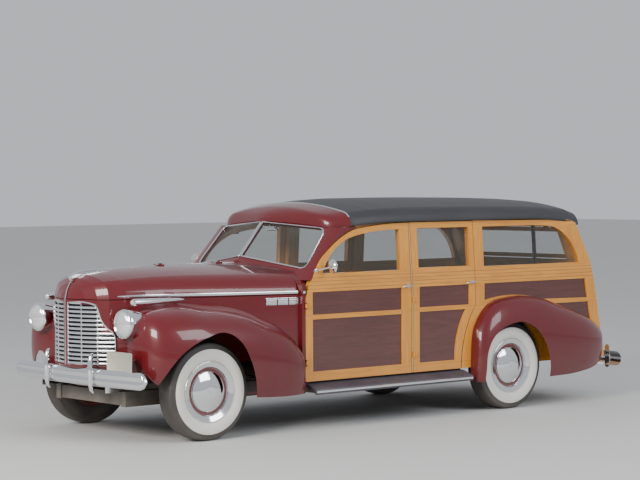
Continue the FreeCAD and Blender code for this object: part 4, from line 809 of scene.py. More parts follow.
BAR_HEIGHT, BAR_PITCH, TOP_LEVEL = 0.019, 0.031, 0.992
AHEAD = (0, -1, 0)
bars, level = [], 0.550
while level < TOP_LEVEL:
    far = min(edge_at(level), edge_at(level + BAR_HEIGHT)) - 0.004
    bars.append(nose_bar(0.026, far, level, level + BAR_HEIGHT, 0.006, -0.002))
    level += BAR_PITCH
border = [on_nose(0.022, 0.545, 0.003)]
border += [on_nose(across - 0.002, height, 0.003) for height, across in GRILLE_EDGE]
border += [on_nose(0.024, 0.996, 0.003)]
bars.append(sweep(border, ring_section(0.006, 8), AHEAD, closed=True))
for across in (0.150, 0.274):
    post = [on_nose(across, height, -0.006) for height in (0.548, 0.70, 0.85, 0.985)]
    bars.append(sweep(post, ring_section(0.005, 6), AHEAD))
grille_half = join(bars)
made = piece("grille_stamping", *join([grille_half, mirrored(grille_half)]), CHROME, "body", "chrome")
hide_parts("grille")
print("grille made of", len(bars), "bars, posts and borders a side")

# %% [markdown]
# Behind the bars lies a curved near-black sheet a little way in: the radiator, with painted shade for the
# space behind the grille. Beside the narrow upper part, the painted nose comes in to meet the border.

# %% Grille core and painted cheeks
core_rows = []
for height in spaced(0.530, 1.0, 16):
    core_rows.append([on_nose(across, height, -0.030) for across in spaced(0.0, edge_at(height) + 0.01, 10)])
# Near-black: the radiator's black, deepened as painted shade for the space behind the bars.
RADIATOR_AND_SHADE = leather("radiator_and_shade", (0.004, 0.004, 0.005, 1), (0.010, 0.010, 0.011, 1))
core = skin(core_rows, False, False)
piece("grille_core", *join([core, mirrored(core)]), RADIATOR_AND_SHADE, "body", "chassis_black")

CHEEK_OUTSIDE, LOWEST_ROW = 0.312, 3
cheek_rows = []
for height in spaced(0.785, 0.994, 12):
    reach = spaced(edge_at(height) - 0.003, CHEEK_OUTSIDE, 8)
    cheek_rows.append([on_nose(across, height, -0.001) for across in reach])
cheek_rows = cheek_rows[LOWEST_ROW:]
back_rows = [[point + Vector((0, 0.004, 0)) for point in row] for row in cheek_rows[::-1]]
cheek = skin(cheek_rows + back_rows, False, True)
piece("grille_cheeks", *join([cheek, mirrored(cheek)]), MAROON_PAINT, "body", "maroon_paint")
print("core rows:", len(core_rows), "and cheek rows:", len(cheek_rows))

# %% [markdown]
# Lamp glass is moulded with upright flutes that spread the light. They are drawn by folding the width into
# a zigzag, which bumps the glass and paints light and dark stripes on it: painted highlight and shade on the
# flutes. The bright reflector behind is a share of metal.

# %% Lens glass
def lens_glass(name, colour, glow, scale):
    material, tree, shader, place = new_material(name)
    apart = add(tree, "SeparateXYZ", {0: place}).outputs
    flute = maths(tree, "PINGPONG", apart[0], scale)
    cloud = add(tree, "TexNoise", {"Vector": place, "Scale": 40.0, "Detail": 2.0}).outputs[0]
    deep = tuple(channel * 0.6 for channel in colour[:3]) + (1,)
    # The zigzag across the flutes paints light and dark stripes: painted highlight and shade on the flutes.
    share = maths(tree, "MULTIPLY_ADD", flute, 0.6 / scale, cloud, clamp=True)
    tree.links.new(blend(tree, share, deep, colour), shader.inputs["Base Color"])
    shader.inputs["Roughness"].default_value = 0.08
    shader.inputs["Metallic"].default_value = glow
    shader.inputs["Coat Weight"].default_value = 1.0
    bump(tree, shader, maths(tree, "MULTIPLY", flute, 1 / scale), 0.6, 0.002)
    return material


CLEAR_LENS = lens_glass("clear_lens", (0.86, 0.88, 0.88, 1), 0.55, 0.006)
RED_LENS = lens_glass("red_lens", (0.55, 0.010, 0.012, 1), 0.0, 0.004)
print("lens glass ready")

# %% [markdown]
# A headlamp is a spun shell that narrows into the fender, with a rolled ring that holds a domed lens. All
# of it is round, so a lathe makes it from two short profiles.

# %% Headlamps
LAMP_X, LAMP_Z, BACK = 0.557, 0.857, (0, 1, 0)
RING_PROFILE = [
    (0.200, 0.070), (0.060, 0.100), (0.030, 0.107), (0.012, 0.1075), (0.002, 0.103), (-0.002, 0.097), (0.004, 0.091),
]
LENS_PROFILE = [(0.006, 0.093), (-0.006, 0.082), (-0.015, 0.060), (-0.020, 0.030), (-0.0215, 0.004)]
ring = lathe(RING_PROFILE, (LAMP_X, station(-0.580), LAMP_Z), BACK, 56)
glass = lathe(LENS_PROFILE, (LAMP_X, station(-0.578), LAMP_Z), BACK, 56)
rings = piece("headlamp_rings", *join([ring, mirrored(ring)]), CHROME, "body", "chrome")
piece("headlamp_lenses", *join([glass, mirrored(glass)]), CLEAR_LENS, "body", "glass")
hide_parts("headlamps")
print("headlamps at", LAMP_X, LAMP_Z)

# %% [markdown]
# The small lamp on each fender's crown is a long bright bullet with a round lens in its nose. The tail lamps
# are short red domes on the corner posts.

# %% Parking and tail lamps
BULLET_PROFILE = [
    (0.0, 0.020), (0.006, 0.0255), (0.02, 0.0275), (0.06, 0.0270),
    (0.18, 0.0235), (0.32, 0.0185), (0.42, 0.012), (0.46, 0.003),
]
bullet_nose, bullet_way = (LAMP_X, station(-0.490), 1.006), (0, 0.9994, 0.012)
bullet = lathe(BULLET_PROFILE, bullet_nose, bullet_way, 32)
tip = lathe([(0.004, 0.021), (-0.006, 0.016), (-0.010, 0.008), (-0.011, 0.001)], bullet_nose, bullet_way, 32)
bullets = piece("parking_lamp_shells", *join([bullet, mirrored(bullet)]), CHROME, "body", "chrome")
piece("parking_lamp_lenses", *join([tip, mirrored(tip)]), CLEAR_LENS, "body", "glass")
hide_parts("parking_lamps")

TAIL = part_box("tail_lamps")
tail_y, tail_z = TAIL[1][1], (TAIL[0][2] + TAIL[1][2]) / 2
TAIL_PROFILE = [(-0.004, 0.036), (0.004, 0.035), (0.010, 0.026), (0.013, 0.012), (0.0135, 0.002)]
tail_lens = lathe(TAIL_PROFILE, (0.690, tail_y, tail_z), BACK, 32)
piece("tail_lenses", *join([tail_lens, mirrored(tail_lens)]), RED_LENS, "body", "chrome")
print("lamps on, tail lenses at", round(tail_y, 3), round(tail_z, 3))

# %% [markdown]
# A door handle is a cast lever on a turned boss. It tapers and droops a little towards its tip, so the
# sweep takes a size at each point. Each handle moves with the door that carries it.

# %% Door handles
OUTWARD = (1, 0, 0)
BOSS_PROFILE = [(-0.002, 0.017), (0.006, 0.016), (0.012, 0.009), (0.030, 0.008)]


def lever(along, height, length):
    """A handle on the side wall, with its boss at a station and its lever pointing forward."""
    x = wall_x(height)
    boss = lathe(BOSS_PROFILE, (x, station(along), height), OUTWARD, 20)
    path = []
    for t in (0, 0.15, 0.4, 0.7, 0.92, 1.0):
        path.append((x + 0.030, station(along) + 0.012 - length * t, height - 0.006 * t * t))
    return join([boss, sweep(path, ring_section(0.0085, 10, 0.8), UP, [0.7, 1.0, 1.0, 0.95, 0.8, 0.4])])


FRONT_DOORS, REAR_DOORS = DOORS[:2], DOORS[2:]
both_sides("front_door_handle", lever(1.985, 1.043, 0.105), CHROME, FRONT_DOORS, "chrome")
both_sides("rear_door_handle", lever(2.690, 1.048, 0.115), CHROME, REAR_DOORS, "chrome")
print("handles on", *DOORS)

# %% [markdown]
# The outside mirror has a round spun head on a thin bent arm, whose foot is found on the front door by a
# ray. The tailgate has a plain bar on a boss.

# %% Door mirrors and tailgate handle
MIRROR_PROFILE = [
    (-0.016, 0.004), (-0.013, 0.026), (-0.004, 0.046), (0.006, 0.055), (0.011, 0.056), (0.013, 0.052), (0.011, 0.001),
]


def door_mirror():
    """The left mirror: head, foot and arm."""
    head = (0.856, station(1.128), 1.222)
    shell = lathe(MIRROR_PROFILE, head, (0.1, 1, 0), 36)
    root = surface("door_front_left", (2, station(1.045), 1.190), (-1, 0, 0))
    path = [root, root + Vector((0.020, 0.006, 0.004)), root + Vector((0.055, 0.035, 0.016))]
    path.append(Vector(head) + Vector((0, -0.012, -0.004)))
    base = lathe([(-0.002, 0.016), (0.006, 0.014), (0.009, 0.004)], root, OUTWARD, 20)
    return join([shell, base, sweep(path, ring_section(0.006, 8), UP)])


both_sides("door_mirror", door_mirror(), CHROME, FRONT_DOORS, "chrome")
GATE_HANDLE_Z = 1.140
gate_y = surface("tailgate", (0, 4, GATE_HANDLE_Z), (0, -1, 0)).y
bar_points = ((-0.062, 0.036), (-0.03, 0.038), (0.03, 0.038), (0.062, 0.036))
bar = [(x, gate_y + out, GATE_HANDLE_Z) for x, out in bar_points]
gate_boss = [(-0.002, 0.022), (0.008, 0.020), (0.014, 0.010), (0.034, 0.009)]
handle = join([
    lathe(gate_boss, (0, gate_y, GATE_HANDLE_Z), BACK, 20),
    sweep(bar, ring_section(0.008, 8), UP, [0.5, 1, 1, 0.5]),
])
piece("tailgate_handle", *handle, CHROME, "tailgate", "chrome")
print("mirrors on, tailgate handle at", round(gate_y, 3))

# %% [markdown]
# Large pressings start as short tables of sections, in millimetres, as on a body draughtsman's board. Rows
# are put in between wherever two lie far apart, with slopes that never overshoot, so no crown gets a dip.

# %% Smooth rows between sections
def slopes(travel, values):
    """Slope at each row, flat where the values turn, so that a blend never overshoots."""
    pairs = zip(values, values[1:], travel, travel[1:])
    steps = [(after - before) / (end - start) for before, after, start, end in pairs]
    middle = [2 * a * b / (a + b) if a * b > 0 else 0.0 for a, b in zip(steps, steps[1:])]
    return [steps[0], *middle, steps[-1]]


def blended(table, spacing):
    """Rows of a table with smooth rows put in between."""
    travel = [0.0]
    for row, following in zip(table, table[1:]):
        travel.append(travel[-1] + math.dist(row, following))
    columns = list(zip(*table))
    column_slopes = [slopes(travel, column) for column in columns]
    rows = []
    for index in range(len(table) - 1):
        run = travel[index + 1] - travel[index]
        count = max(1, math.ceil(run / spacing))
        for part in range(count):
            t = part / count
            rise, lead, trail = t * t * (3 - 2 * t), t * (1 - t) ** 2 * run, t * t * (t - 1) * run
            row = []
            for column, slope in zip(columns, column_slopes):
                change = (column[index + 1] - column[index]) * rise
                row.append(column[index] + change + lead * slope[index] + trail * slope[index + 1])
            rows.append(tuple(row))
    return rows + [tuple(table[-1])]


print("a blend of three rows:", len(blended([(0, 0), (100, 10), (200, 0)], 50)), "rows")

# %% [markdown]
# A closed form can run through outlines across the car, through outlines at several heights, or fill one
# side outline. Three short functions cover every pressing here.

# %% Closed forms
def cross_form(sections, steps=10):
    """A closed form through outlines of (x, z), each at its Y, all in millimetres."""
    rows = [[Vector((p.x, y, p.y)) / 1000 for p in rounded(outline, steps)] for y, outline in sections]
    return skin(rows, True, False)


def level_form(sections, steps=6):
    """A closed form through outlines of (x, y), each at its height, all in millimetres."""
    rows = [[Vector((p.x, p.y, z)) / 1000 for p in rounded(outline, steps)] for z, outline in sections]
    return skin(rows, True, False)


def side_form(outline, low_x, high_x, steps=12):
    """A closed form that fills an outline of (y, z) between two X values, all in millimetres."""
    rows = [[Vector((x, p.x, p.y)) / 1000 for p in rounded(outline, steps)] for x in (low_x, high_x)]
    return skin(rows, True, False)


def block(low, high):
    """A box from its two corners, in millimetres."""
    return box([v / 1000 for v in low], [v / 1000 for v in high])


def mm(distance):
    """Row-frame Y, in millimetres, of a distance in millimetres behind the front axle."""
    return 1000 * FRONT_AXLE + distance


FAR = 4000
print("the front axle is at", mm(0), "mm")

# %% [markdown]
# Cutting one form by others hollows it, opens its windows and trims its edges, as dies and shears would. The
# exact boolean solver is used on small closed meshes. Its tools are made, used and thrown away at once.

# %% Cutting one form by others
def temporary(part):
    """A throw-away object whose faces all look outward."""
    mesh = bpy.data.meshes.new("cutting")
    mesh.from_pydata([tuple(v) for v in part[0]], [], part[1])
    mesh.validate()
    made = bpy.data.objects.new("cutting", mesh)
    bpy.context.scene.collection.objects.link(made)
    bpy.context.view_layer.objects.active = made
    bpy.ops.object.mode_set(mode="EDIT")
    bpy.ops.mesh.select_all(action="SELECT")
    bpy.ops.mesh.normals_make_consistent(inside=False)
    bpy.ops.object.mode_set(mode="OBJECT")
    return made


def cut(part, others):
    """A form cut by others, as new vertices and faces."""
    made = temporary(part)
    tools = [temporary(other) for other in others]
    for tool in tools:
        modifier = made.modifiers.new("cut", "BOOLEAN")
        modifier.operation = "DIFFERENCE"
        modifier.solver = "EXACT"
        modifier.object = tool
    graph = bpy.context.evaluated_depsgraph_get()
    mesh = bpy.data.meshes.new_from_object(made.evaluated_get(graph))
    result = [v.co.copy() for v in mesh.vertices], [tuple(p.vertices) for p in mesh.polygons]
    for item in [made, *tools]:
        bpy.data.objects.remove(item)
    return result


trial = cut(block((0, 0, 0), (30, 30, 30)), [block((10, 10, -10), (20, 20, 40))])
print("a block with a square hole has", len(trial[1]), "faces")

# %% [markdown]
# These tables hold the painted front of the roof, the hood that the fenders meet, the curve at which the
# front doors open, and the corners of a windscreen pane. All are read along the car from the front axle.

# %% Tables of the front body
ROOF_FRONT = [  # station, half width, edge height, centre height
    (1160, 60, 1553, 1578), (1175, 130, 1550, 1602), (1196, 230, 1545, 1624), (1219, 340, 1538, 1641),
    (1246, 480, 1526, 1657), (1272, 600, 1514, 1668), (1312, 655, 1507, 1677), (1360, 690, 1507, 1686),
]
SEAM_SECTIONS = [(1450, 744, 1522, 1697)]
HOOD_ROWS = [  # station, half width, crest height, drop to the shoulder
    (-688, 24, 1012, 60), (-672, 100, 1078, 100), (-645, 186, 1130, 135), (-600, 279, 1172, 158),
    (-547, 350, 1196, 172), (-430, 408, 1209, 182), (-150, 478, 1229, 196), (250, 590, 1237, 205),
    (905, 745, 1238, 208), (1030, 758, 1258, 228),
]
DOOR_CURVE = [
    (mm(929), 355), (mm(1600), 355), (mm(1600), 1519), ("arc", mm(1520), 1506), (mm(1442), 1497),
    ("arc", mm(1138), 1314), (mm(929), 985),
]
PANE_SHAPE = [
    Vector((9, mm(925), 1285)), Vector((672, mm(1022), 1199)),
    Vector((626, mm(1266), 1501)), Vector((9, mm(1146), 1545)),
]
print("rows of roof and hood:", len(ROOF_FRONT), len(HOOD_ROWS))

# %% [markdown]
# The roof front and the hood are closed forms across the car, drawn from those tables. An inset makes the
# same form a little smaller, and that is the tool that hollows the larger one to sheet metal.

# %% Forms of the roof front and the hood
def roof_outline(width, edge, crest):
    """One section of the roof: flat below, crowned above, with rounded shoulders."""
    rise, corner = crest - edge, 0.86 * width
    return [
        (-width, edge), (width, edge), ("arc", width - 0.22 * (width - corner), edge + 0.36 * rise),
        (corner, edge + 0.62 * rise), ("arc", 0, crest), (-corner, edge + 0.62 * rise),
        ("arc", -width + 0.22 * (width - corner), edge + 0.36 * rise),
    ]


def roof_form(inset, drop):
    """The painted front of the roof, up to the seam with the fabric."""
    sections = []
    for along, width, edge, crest in blended(ROOF_FRONT, 60) + SEAM_SECTIONS:
        sections.append((mm(along) + inset, roof_outline(width - inset, edge - drop, crest - inset)))
    return cross_form(sections)


def hood_form(inset, bottom, rows):
    """The hood and cowl down to a bottom height."""
    sections = []
    for along, width, crest, drop in rows:
        width, crest = width - inset, crest - inset
        shoulder, top_edge = crest - drop, crest - 0.28 * drop
        side = shoulder + 0.47 * (top_edge - shoulder)
        sections.append((mm(along + (inset if along < 0 else 0)), [
            (-width, bottom), (width, bottom), (width, shoulder), ("arc", 0.955 * width, side),
            (0.78 * width, top_edge),
            ("arc", 0, crest), (-0.78 * width, top_edge), ("arc", -0.955 * width, side), (-width, shoulder),
        ]))
    return cross_form(sections)


print("a roof section has", len(rounded(roof_outline(690, 1507, 1686))), "points")

# %% [markdown]
# In plan the windscreen is a V with rounded corners, which moves back and narrows as it rises. The panes
# are flat, so each is an outline on its own plane, with its corners rounded by different radii.

# %% Forms of the windscreen and its panes
def screen_outline(height, inset, back=1480):
    """The V plan of the surround at a height, in millimetres."""
    rise = (height - 1170) / 390
    centre, outer = mm(826 + rise * 334) + inset * 1.2, mm(976 + rise * 334) + inset * 1.2
    side, turn = 772 - rise * 34 - inset, mm(976 + rise * 334) + inset * 1.2 + 70
    return [
        (-side, turn + 12), (-side, turn), ("arc", -side + 32, outer + 28), (-590, outer), (0, centre),
        (590, outer), ("arc", side - 32, outer + 28), (side, turn), (side, mm(back)), (-side, mm(back)),
    ]


PANE_NORMAL = (PANE_SHAPE[1] - PANE_SHAPE[0]).cross(PANE_SHAPE[3] - PANE_SHAPE[0]).normalized()
if PANE_NORMAL.y > 0:
    PANE_NORMAL = -PANE_NORMAL


def soft_corners(corners, radii, steps=6):
    """A closed path round the corners, each rounded by its own radius."""
    path = []
    for index, (corner, radius) in enumerate(zip(corners, radii)):
        before, after = corners[index - 1], corners[(index + 1) % len(corners)]
        start = corner + (before - corner).normalized() * radius
        end = corner + (after - corner).normalized() * radius
        for step in range(steps + 1):
            t = step / steps
            path.append(start * (1 - t) ** 2 + corner * 2 * t * (1 - t) + end * t * t)
    return path


def flat_pane(shrink):
    """The pane's outline on its plane, in millimetres, shrunk towards its middle."""
    first = PANE_SHAPE[0]
    corners = [corner - PANE_NORMAL * PANE_NORMAL.dot(corner - first) for corner in PANE_SHAPE]
    centre = sum(corners, Vector()) / 4
    corners = [corner + (centre - corner).normalized() * shrink * 1.3 for corner in corners]
    return soft_corners(corners, (16, 62, 62, 16))


def pane_form(shrink, before, behind):
    """A pane's outline carried through the glass, from before it to behind it."""
    rows = [[(point + PANE_NORMAL * depth) / 1000 for point in flat_pane(shrink)] for depth in (before, -behind)]
    return skin(rows, True, False)


print("pane outline:", len(flat_pane(0)), "points, leaning", round(math.degrees(math.asin(PANE_NORMAL.z))), "degrees")

# %% [markdown]
# The surround is the V form, hollowed by a smaller one. Both panes, the room that the front doors sweep and
# the corners under the roof are cut away. Welded to it in the real car is the painted front of the roof.

# %% Windscreen surround and roof front
SURROUND_LOW, SURROUND_HIGH, SURROUND_THICK, ROOF_THICK = 1120, 1600, 30, 18
room = side_form(DOOR_CURVE, 719, 900)
corner = block((606, mm(1150), 1509), (FAR, mm(1500), 1800))
opening = pane_form(0, 60, 60)
hollow = level_form([
    (height, screen_outline(height, SURROUND_THICK, 1700)) for height in (SURROUND_LOW - 40, SURROUND_HIGH + 40)
])
ahead_of_cowl = block((-FAR, mm(0), 0), (FAR, mm(900), 1800))
behind_seam = block((-FAR, mm(1430), 0), (FAR, mm(1500), 1800))
surround = cut(
    level_form([(height, screen_outline(height, 0)) for height in (SURROUND_LOW, SURROUND_HIGH)]),
    [hollow, corner, mirrored(corner), ahead_of_cowl, opening, mirrored(opening), room, mirrored(room)],
)
cap = cut(roof_form(0, 0), [roof_form(ROOF_THICK, 40), behind_seam, room, mirrored(room)])
print("surround has", len(surround[1]), "faces, the roof front", len(cap[1]))

# %% [markdown]
# The cowl between hood and windscreen is a short hollow form. Below it, the CAD posts and firewall are kept:
# their mesh is copied and cut off under the new pressing, and the two together replace the plain node.

# %% Cowl and front posts
JOINT_LEVEL = SURROUND_LOW - 1
cowl_rows = [(900, 744, 1238, 208), (1030, 758, 1258, 228)]
inner_rows = [(890, *cowl_rows[0][1:]), (1040, *cowl_rows[1][1:])]
cowl = cut(hood_form(0, JOINT_LEVEL, cowl_rows), [hood_form(6, JOINT_LEVEL - 19, inner_rows)])
cad = NODES["cowl_shell"].data
cad_part = [v.co.copy() for v in cad.vertices], [tuple(p.vertices) for p in cad.polygons]
posts = cut(cad_part, [block((-FAR, mm(0), JOINT_LEVEL), (FAR, mm(2000), 1800))])
pressing = piece("cowl_pressing", *join([posts, cowl]), MAROON_PAINT, "body", "maroon_paint", 32)
piece("screen_pressing", *join([surround, cap]), MAROON_PAINT, "body", "maroon_paint", 32)
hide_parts("cowl_shell")
print("cowl has", len(cowl[1]), "faces, the posts", len(posts[1]))

# %% [markdown]
# Each windscreen pane is flat safety glass in a bright frame. The quarter windows are right in the CAD
# model already, so their faces are copied from it, and a slim stile stands where the halves meet.

# %% Windscreen panes and quarter glass
pane = pane_form(1, -6, 12)
cad_glass = NODES["fixed_glass"].data
quarter_faces = [tuple(p.vertices) for p in cad_glass.polygons if p.center.y > 0]
used = sorted({i for face in quarter_faces for i in face})
renumber = {old: new for new, old in enumerate(used)}
quarter = (
    [cad_glass.vertices[i].co.copy() for i in used],
    [tuple(renumber[i] for i in face) for face in quarter_faces],
)
glazing = piece("fixed_panes", *join([pane, mirrored(pane), quarter]), WINDOW_GLASS, "body", "glass")
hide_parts("fixed_glass")
frame_path = [(point + PANE_NORMAL * 2) / 1000 for point in flat_pane(0)]
pane_frame = sweep(frame_path, ring_section(0.0065, 8), PANE_NORMAL, closed=True)
both_sides("windscreen_frame", pane_frame, CHROME, BODY, "chrome")
stile = cut(block((735, mm(3440), 1165), (760, mm(3462), 1492)), [])
leaning = [Vector((v.x - max(0, v.z - BELT_LOW) * LEAN + 0.004, v.y, v.z)) for v in stile[0]]
both_sides("quarter_stile", (leaning, stile[1]), CHASSIS_PAINT, BODY, "chassis_black")
print("quarter panes have", len(quarter_faces), "faces, the frame", len(pane_frame[1]))

# %% [markdown]
# A fender of the time is a pontoon: a round crown that climbs to the hood, a full side, and a foot turned
# under. It was drawn in sections along the car, and so it is here, with the wheel openings as side outlines.

# %% Tables of the fenders
FRONT_ROWS = [  # station, inner and outer half width, crown height, rise to the inner edge, bottom height
    (-515, 590, 650, 735, 0, 650), (-508, 540, 705, 800, 2, 580), (-488, 480, 775, 868, 6, 500),
    (-440, 430, 838, 925, 14, 430), (-340, 400, 888, 952, 30, 390), (-180, 420, 922, 962, 45, 360),
    (20, 460, 934, 938, 62, 330), (200, 530, 936, 916, 84, 310), (370, 575, 934, 880, 90, 295),
    (530, 620, 926, 816, 108, 286), (660, 655, 914, 762, 122, 282), (780, 690, 890, 682, 130, 282),
    (860, 710, 858, 612, 122, 282), (915, 740, 805, 520, 60, 282),
]
REAR_ROWS = [
    (-408, 700, 812, 400, 0, 250), (-402, 700, 850, 525, 4, 247), (-385, 700, 880, 652, 8, 245),
    (-340, 700, 908, 740, 10, 245), (-277, 700, 925, 815, 12, 245), (-212, 700, 935, 862, 14, 245),
    (-84, 700, 941, 899, 16, 245), (123, 700, 943, 914, 16, 245), (307, 700, 941, 898, 16, 245),
    (574, 700, 930, 828, 16, 247), (847, 700, 903, 744, 16, 268), (1010, 700, 868, 678, 12, 298),
    (1109, 700, 830, 622, 6, 352), (1144, 700, 803, 600, 0, 425), (1152, 700, 790, 585, 0, 500),
]
FRONT_OPENING = [
    (-700, 100), (-700, 520), (-560, 455), (-440, 430), ("arc", -300, 645), (-60, 762),
    ("arc", 225, 690), (385, 200), (385, 100),
]
REAR_OPENING = [(-352, 100), (-345, 400), ("arc", -250, 630), (24, 714), ("arc", 250, 600), (372, 330), (385, 100)]
print("fender rows:", len(FRONT_ROWS), "in front and", len(REAR_ROWS), "behind")

# %% [markdown]
# One section function serves both fenders. It places the crown, the shoulder, the side and the turned foot
# by shares of the section's own width and height, so every row keeps the same character.

# %% Form of a fender
def fender_outline(inner, outer, crown, rise, bottom, inset, drop):
    """One section, from the inner edge round the foot, the side and the crown."""
    width, height = outer - inner, crown - bottom
    foot = outer - 0.10 * width - inset
    return [
        (inner, bottom - drop), (foot, bottom - drop), (foot, bottom - drop * 0.01),
        ("arc", outer - 0.015 * width - inset, bottom + 0.20 * height), (outer - inset, bottom + 0.45 * height),
        ("arc", outer - 0.12 * width - 0.8 * inset, bottom + 0.83 * height - 0.5 * inset),
        (outer - 0.50 * width, crown - inset),
        ("arc", outer - 0.78 * width, crown + 0.35 * rise + 0.008 * width - inset), (inner, crown + rise - inset),
    ]


def fender_form(rows, axle, inset, drop):
    """The left fender round an axle, or the smaller form that hollows it."""
    sections = []
    for along, *shape in blended(rows, 40):
        sections.append((axle + along + (inset if along < 0 else -inset), fender_outline(*shape, inset, drop)))
    return cross_form(sections, 12)


def moved(outline, distance):
    """A side outline carried along the car."""
    result = []
    for item in outline:
        if item[0] == "arc":
            result.append(("arc", item[1] + distance, item[2]))
        else:
            result.append((item[0] + distance, item[1]))
    return result


print("a fender section has", len(rounded(fender_outline(*FRONT_ROWS[0][1:], 0, 1), 12)), "points")

# %% [markdown]
# Each fender is hollowed to sheet, opened over its wheel and trimmed where it meets the hood and the wall of
# the body. The right one is the mirror image, and the pair replaces the plain node.

# %% Cut the fenders
SHEET, BODY_SIDE = 5, 780.4
axle = 1000 * FRONT_AXLE
front_fender = cut(fender_form(FRONT_ROWS, axle, 0, 1), [
    fender_form(FRONT_ROWS, axle, SHEET, 60), side_form(moved(FRONT_OPENING, axle), 560, 1200, 16),
    hood_form(-0.5, 300, blended(HOOD_ROWS, 90)), block((0, axle + 880, 0), (BODY_SIDE, axle + 1100, 1200)),
])
axle = 1000 * REAR_AXLE
rear_fender = cut(fender_form(REAR_ROWS, axle, 0, 1), [
    fender_form(REAR_ROWS, axle, SHEET, 60), side_form(moved(REAR_OPENING, axle), 860, 1200, 16),
    block((0, axle - 900, 0), (BODY_SIDE, axle + 1500, 1200)),
])
for name, part in (("front", front_fender), ("rear", rear_fender)):
    made = piece(f"{name}_fender_skins", *join([part, mirrored(part)]), MAROON_PAINT, "body", "maroon_paint", 35)
    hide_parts(f"{name}_fenders")
print("fenders", len(front_fender[1]), len(rear_fender[1]), "faces")

# %% [markdown]
# The front bumper is a plated spring blade, bowed in plan, with a full rounded face and round ends. One
# section runs along the bow and shrinks in height within the last 60 mm, so that the ends close.

# %% Bumper blade
BOW_RADIUS, FACE_Y, BLADE_Z = 5.090, station(-0.662), 0.465
BLADE_HALF, END_LENGTH = 0.838, 0.06
BLADE_SECTION = [  # depth behind the face, height from the middle
    (0.030, -0.058), (0.016, -0.0625), (0.006, -0.054), (0.001, -0.036), (0.0, -0.018), (0.003, -0.008),
    (0.003, 0.008), (0.0, 0.018), (0.001, 0.036), (0.006, 0.054), (0.016, 0.0625), (0.030, 0.058),
    (0.022, 0.03), (0.018, 0.0), (0.022, -0.03),
]


def blade_y(across):
    """Front of the blade at a distance from the centre."""
    return FACE_Y + BOW_RADIUS - math.sqrt(BOW_RADIUS * BOW_RADIUS - across * across)


rows = []
for across in spaced(-BLADE_HALF, BLADE_HALF, 61):
    near_end = BLADE_HALF - abs(across)
    share = 1.0
    if near_end <= END_LENGTH:
        share = math.sqrt(max(0.0, 1 - ((END_LENGTH - near_end) / END_LENGTH) ** 2))
    share = max(share, 0.03)
    y = blade_y(across)
    rows.append([Vector((across, y + depth, BLADE_Z + height * share)) for depth, height in BLADE_SECTION])
parts = [skin(rows, True, False)]
print("blade rows:", len(rows))

# %% [markdown]
# Two slim guards stand on the blade, swelling in the middle and rolled back at head and foot. Flat brackets
# carry the blade from the frame rails. All are plated and bolted up as one.

# %% Guards and brackets
GUARD_PATH = [  # forward or back of the blade's face, height, size
    (0.012, 0.352, 0.35), (-0.004, 0.372, 0.8), (-0.014, 0.42, 1.0), (-0.016, 0.50, 1.05),
    (-0.015, 0.57, 1.0), (-0.010, 0.61, 0.85), (-0.002, 0.632, 0.6), (0.008, 0.640, 0.2),
]
for across in (-0.285, 0.285):
    path = [(across, blade_y(across) + depth, height) for depth, height, _ in GUARD_PATH]
    parts.append(sweep(path, ring_section(0.021, 14, 0.95), AHEAD, [size for _, _, size in GUARD_PATH]))
for low, high in ((-0.429, -0.411), (0.411, 0.429)):
    parts.append(box((low, FACE_Y + 0.034, 0.36), (high, station(-0.481), 0.475)))
blade_piece = piece("front_bumper_blade", *join(parts), CHROME, "body", "chrome", 50)
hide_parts("front_bumper")
print("bumper made of", len(parts), "parts")

# %% [markdown]
# A painted pan turns under from the grille's foot, behind the blade, and keeps gravel off the radiator. On
# each side an apron joins the nose to the fender, first upright and then back over the wheel.

# %% Gravel pan and aprons
PAN_SECTION = (
    (0.546, -0.002), (0.528, -0.012), (0.50, -0.046), (0.45, -0.058), (0.41, -0.072), (0.385, -0.10), (0.375, -0.14),
)
APRON_SPAN, APRON_SUNK, APRON_TOP = spaced(0.378, 0.495, 9), -0.008, 0.750
pan_rows = []
for height, proud in PAN_SECTION:
    pan_rows.append([on_nose(across, height, proud) for across in spaced(-0.37, 0.37, 25)])
pan_backs = [[point + Vector((0, 0.004, 0)) for point in row] for row in pan_rows[::-1]]
piece("gravel_pan", *skin(pan_rows + pan_backs, False, True), MAROON_PAINT, "body", "maroon_paint")

apron_rows = []
for height in spaced(0.44, 0.745, 8):
    apron_rows.append([on_nose(across, height, APRON_SUNK) for across in APRON_SPAN])
for back in (0.006, 0.03, 0.10, 0.20, 0.27):
    level = APRON_TOP + 0.14 * back
    apron_rows.append([on_nose(across, level, APRON_SUNK) + Vector((0, back, 0)) for across in APRON_SPAN])
under_rows = [[point + Vector((0, 0.003, -0.003)) for point in row] for row in apron_rows[::-1]]
apron = skin(apron_rows + under_rows, False, True)
piece("fender_aprons", *join([apron, mirrored(apron)]), MAROON_PAINT, "body", "maroon_paint")
print("pan rows:", len(pan_rows), "and apron rows:", len(apron_rows))

# %% [markdown]
# The plate is a bare pressed sheet with a raised rim and nothing on it, on a plain bracket over the bumper.
# Its rim comes from four loops round the same rounded oblong, each a little further in or out.

# %% Blank plate
PLATE = bright("bare_plate", (0.72, 0.70, 0.60, 1), 0.5)
PLATE_HALF_WIDTH, PLATE_HALF_HEIGHT, PLATE_CORNER = 0.1525, 0.076, 0.012
plate_centre = Vector((0.560, station(-0.606), 0.585))
plate_rows = []
for inset, proud in ((0.0, 0.0), (0.0, -0.004), (0.006, -0.004), (0.008, -0.002)):
    half_width, half_height = PLATE_HALF_WIDTH - inset, PLATE_HALF_HEIGHT - inset
    loop = []
    for corner_x, corner_z, turn in ((1, 1, 0), (-1, 1, 90), (-1, -1, 180), (1, -1, 270)):
        for step in range(5):
            angle = math.radians(turn + 22.5 * step)
            x = corner_x * (half_width - PLATE_CORNER) + PLATE_CORNER * math.cos(angle)
            z = corner_z * (half_height - PLATE_CORNER) + PLATE_CORNER * math.sin(angle)
            loop.append(plate_centre + Vector((x, proud, z)))
    plate_rows.append(loop)
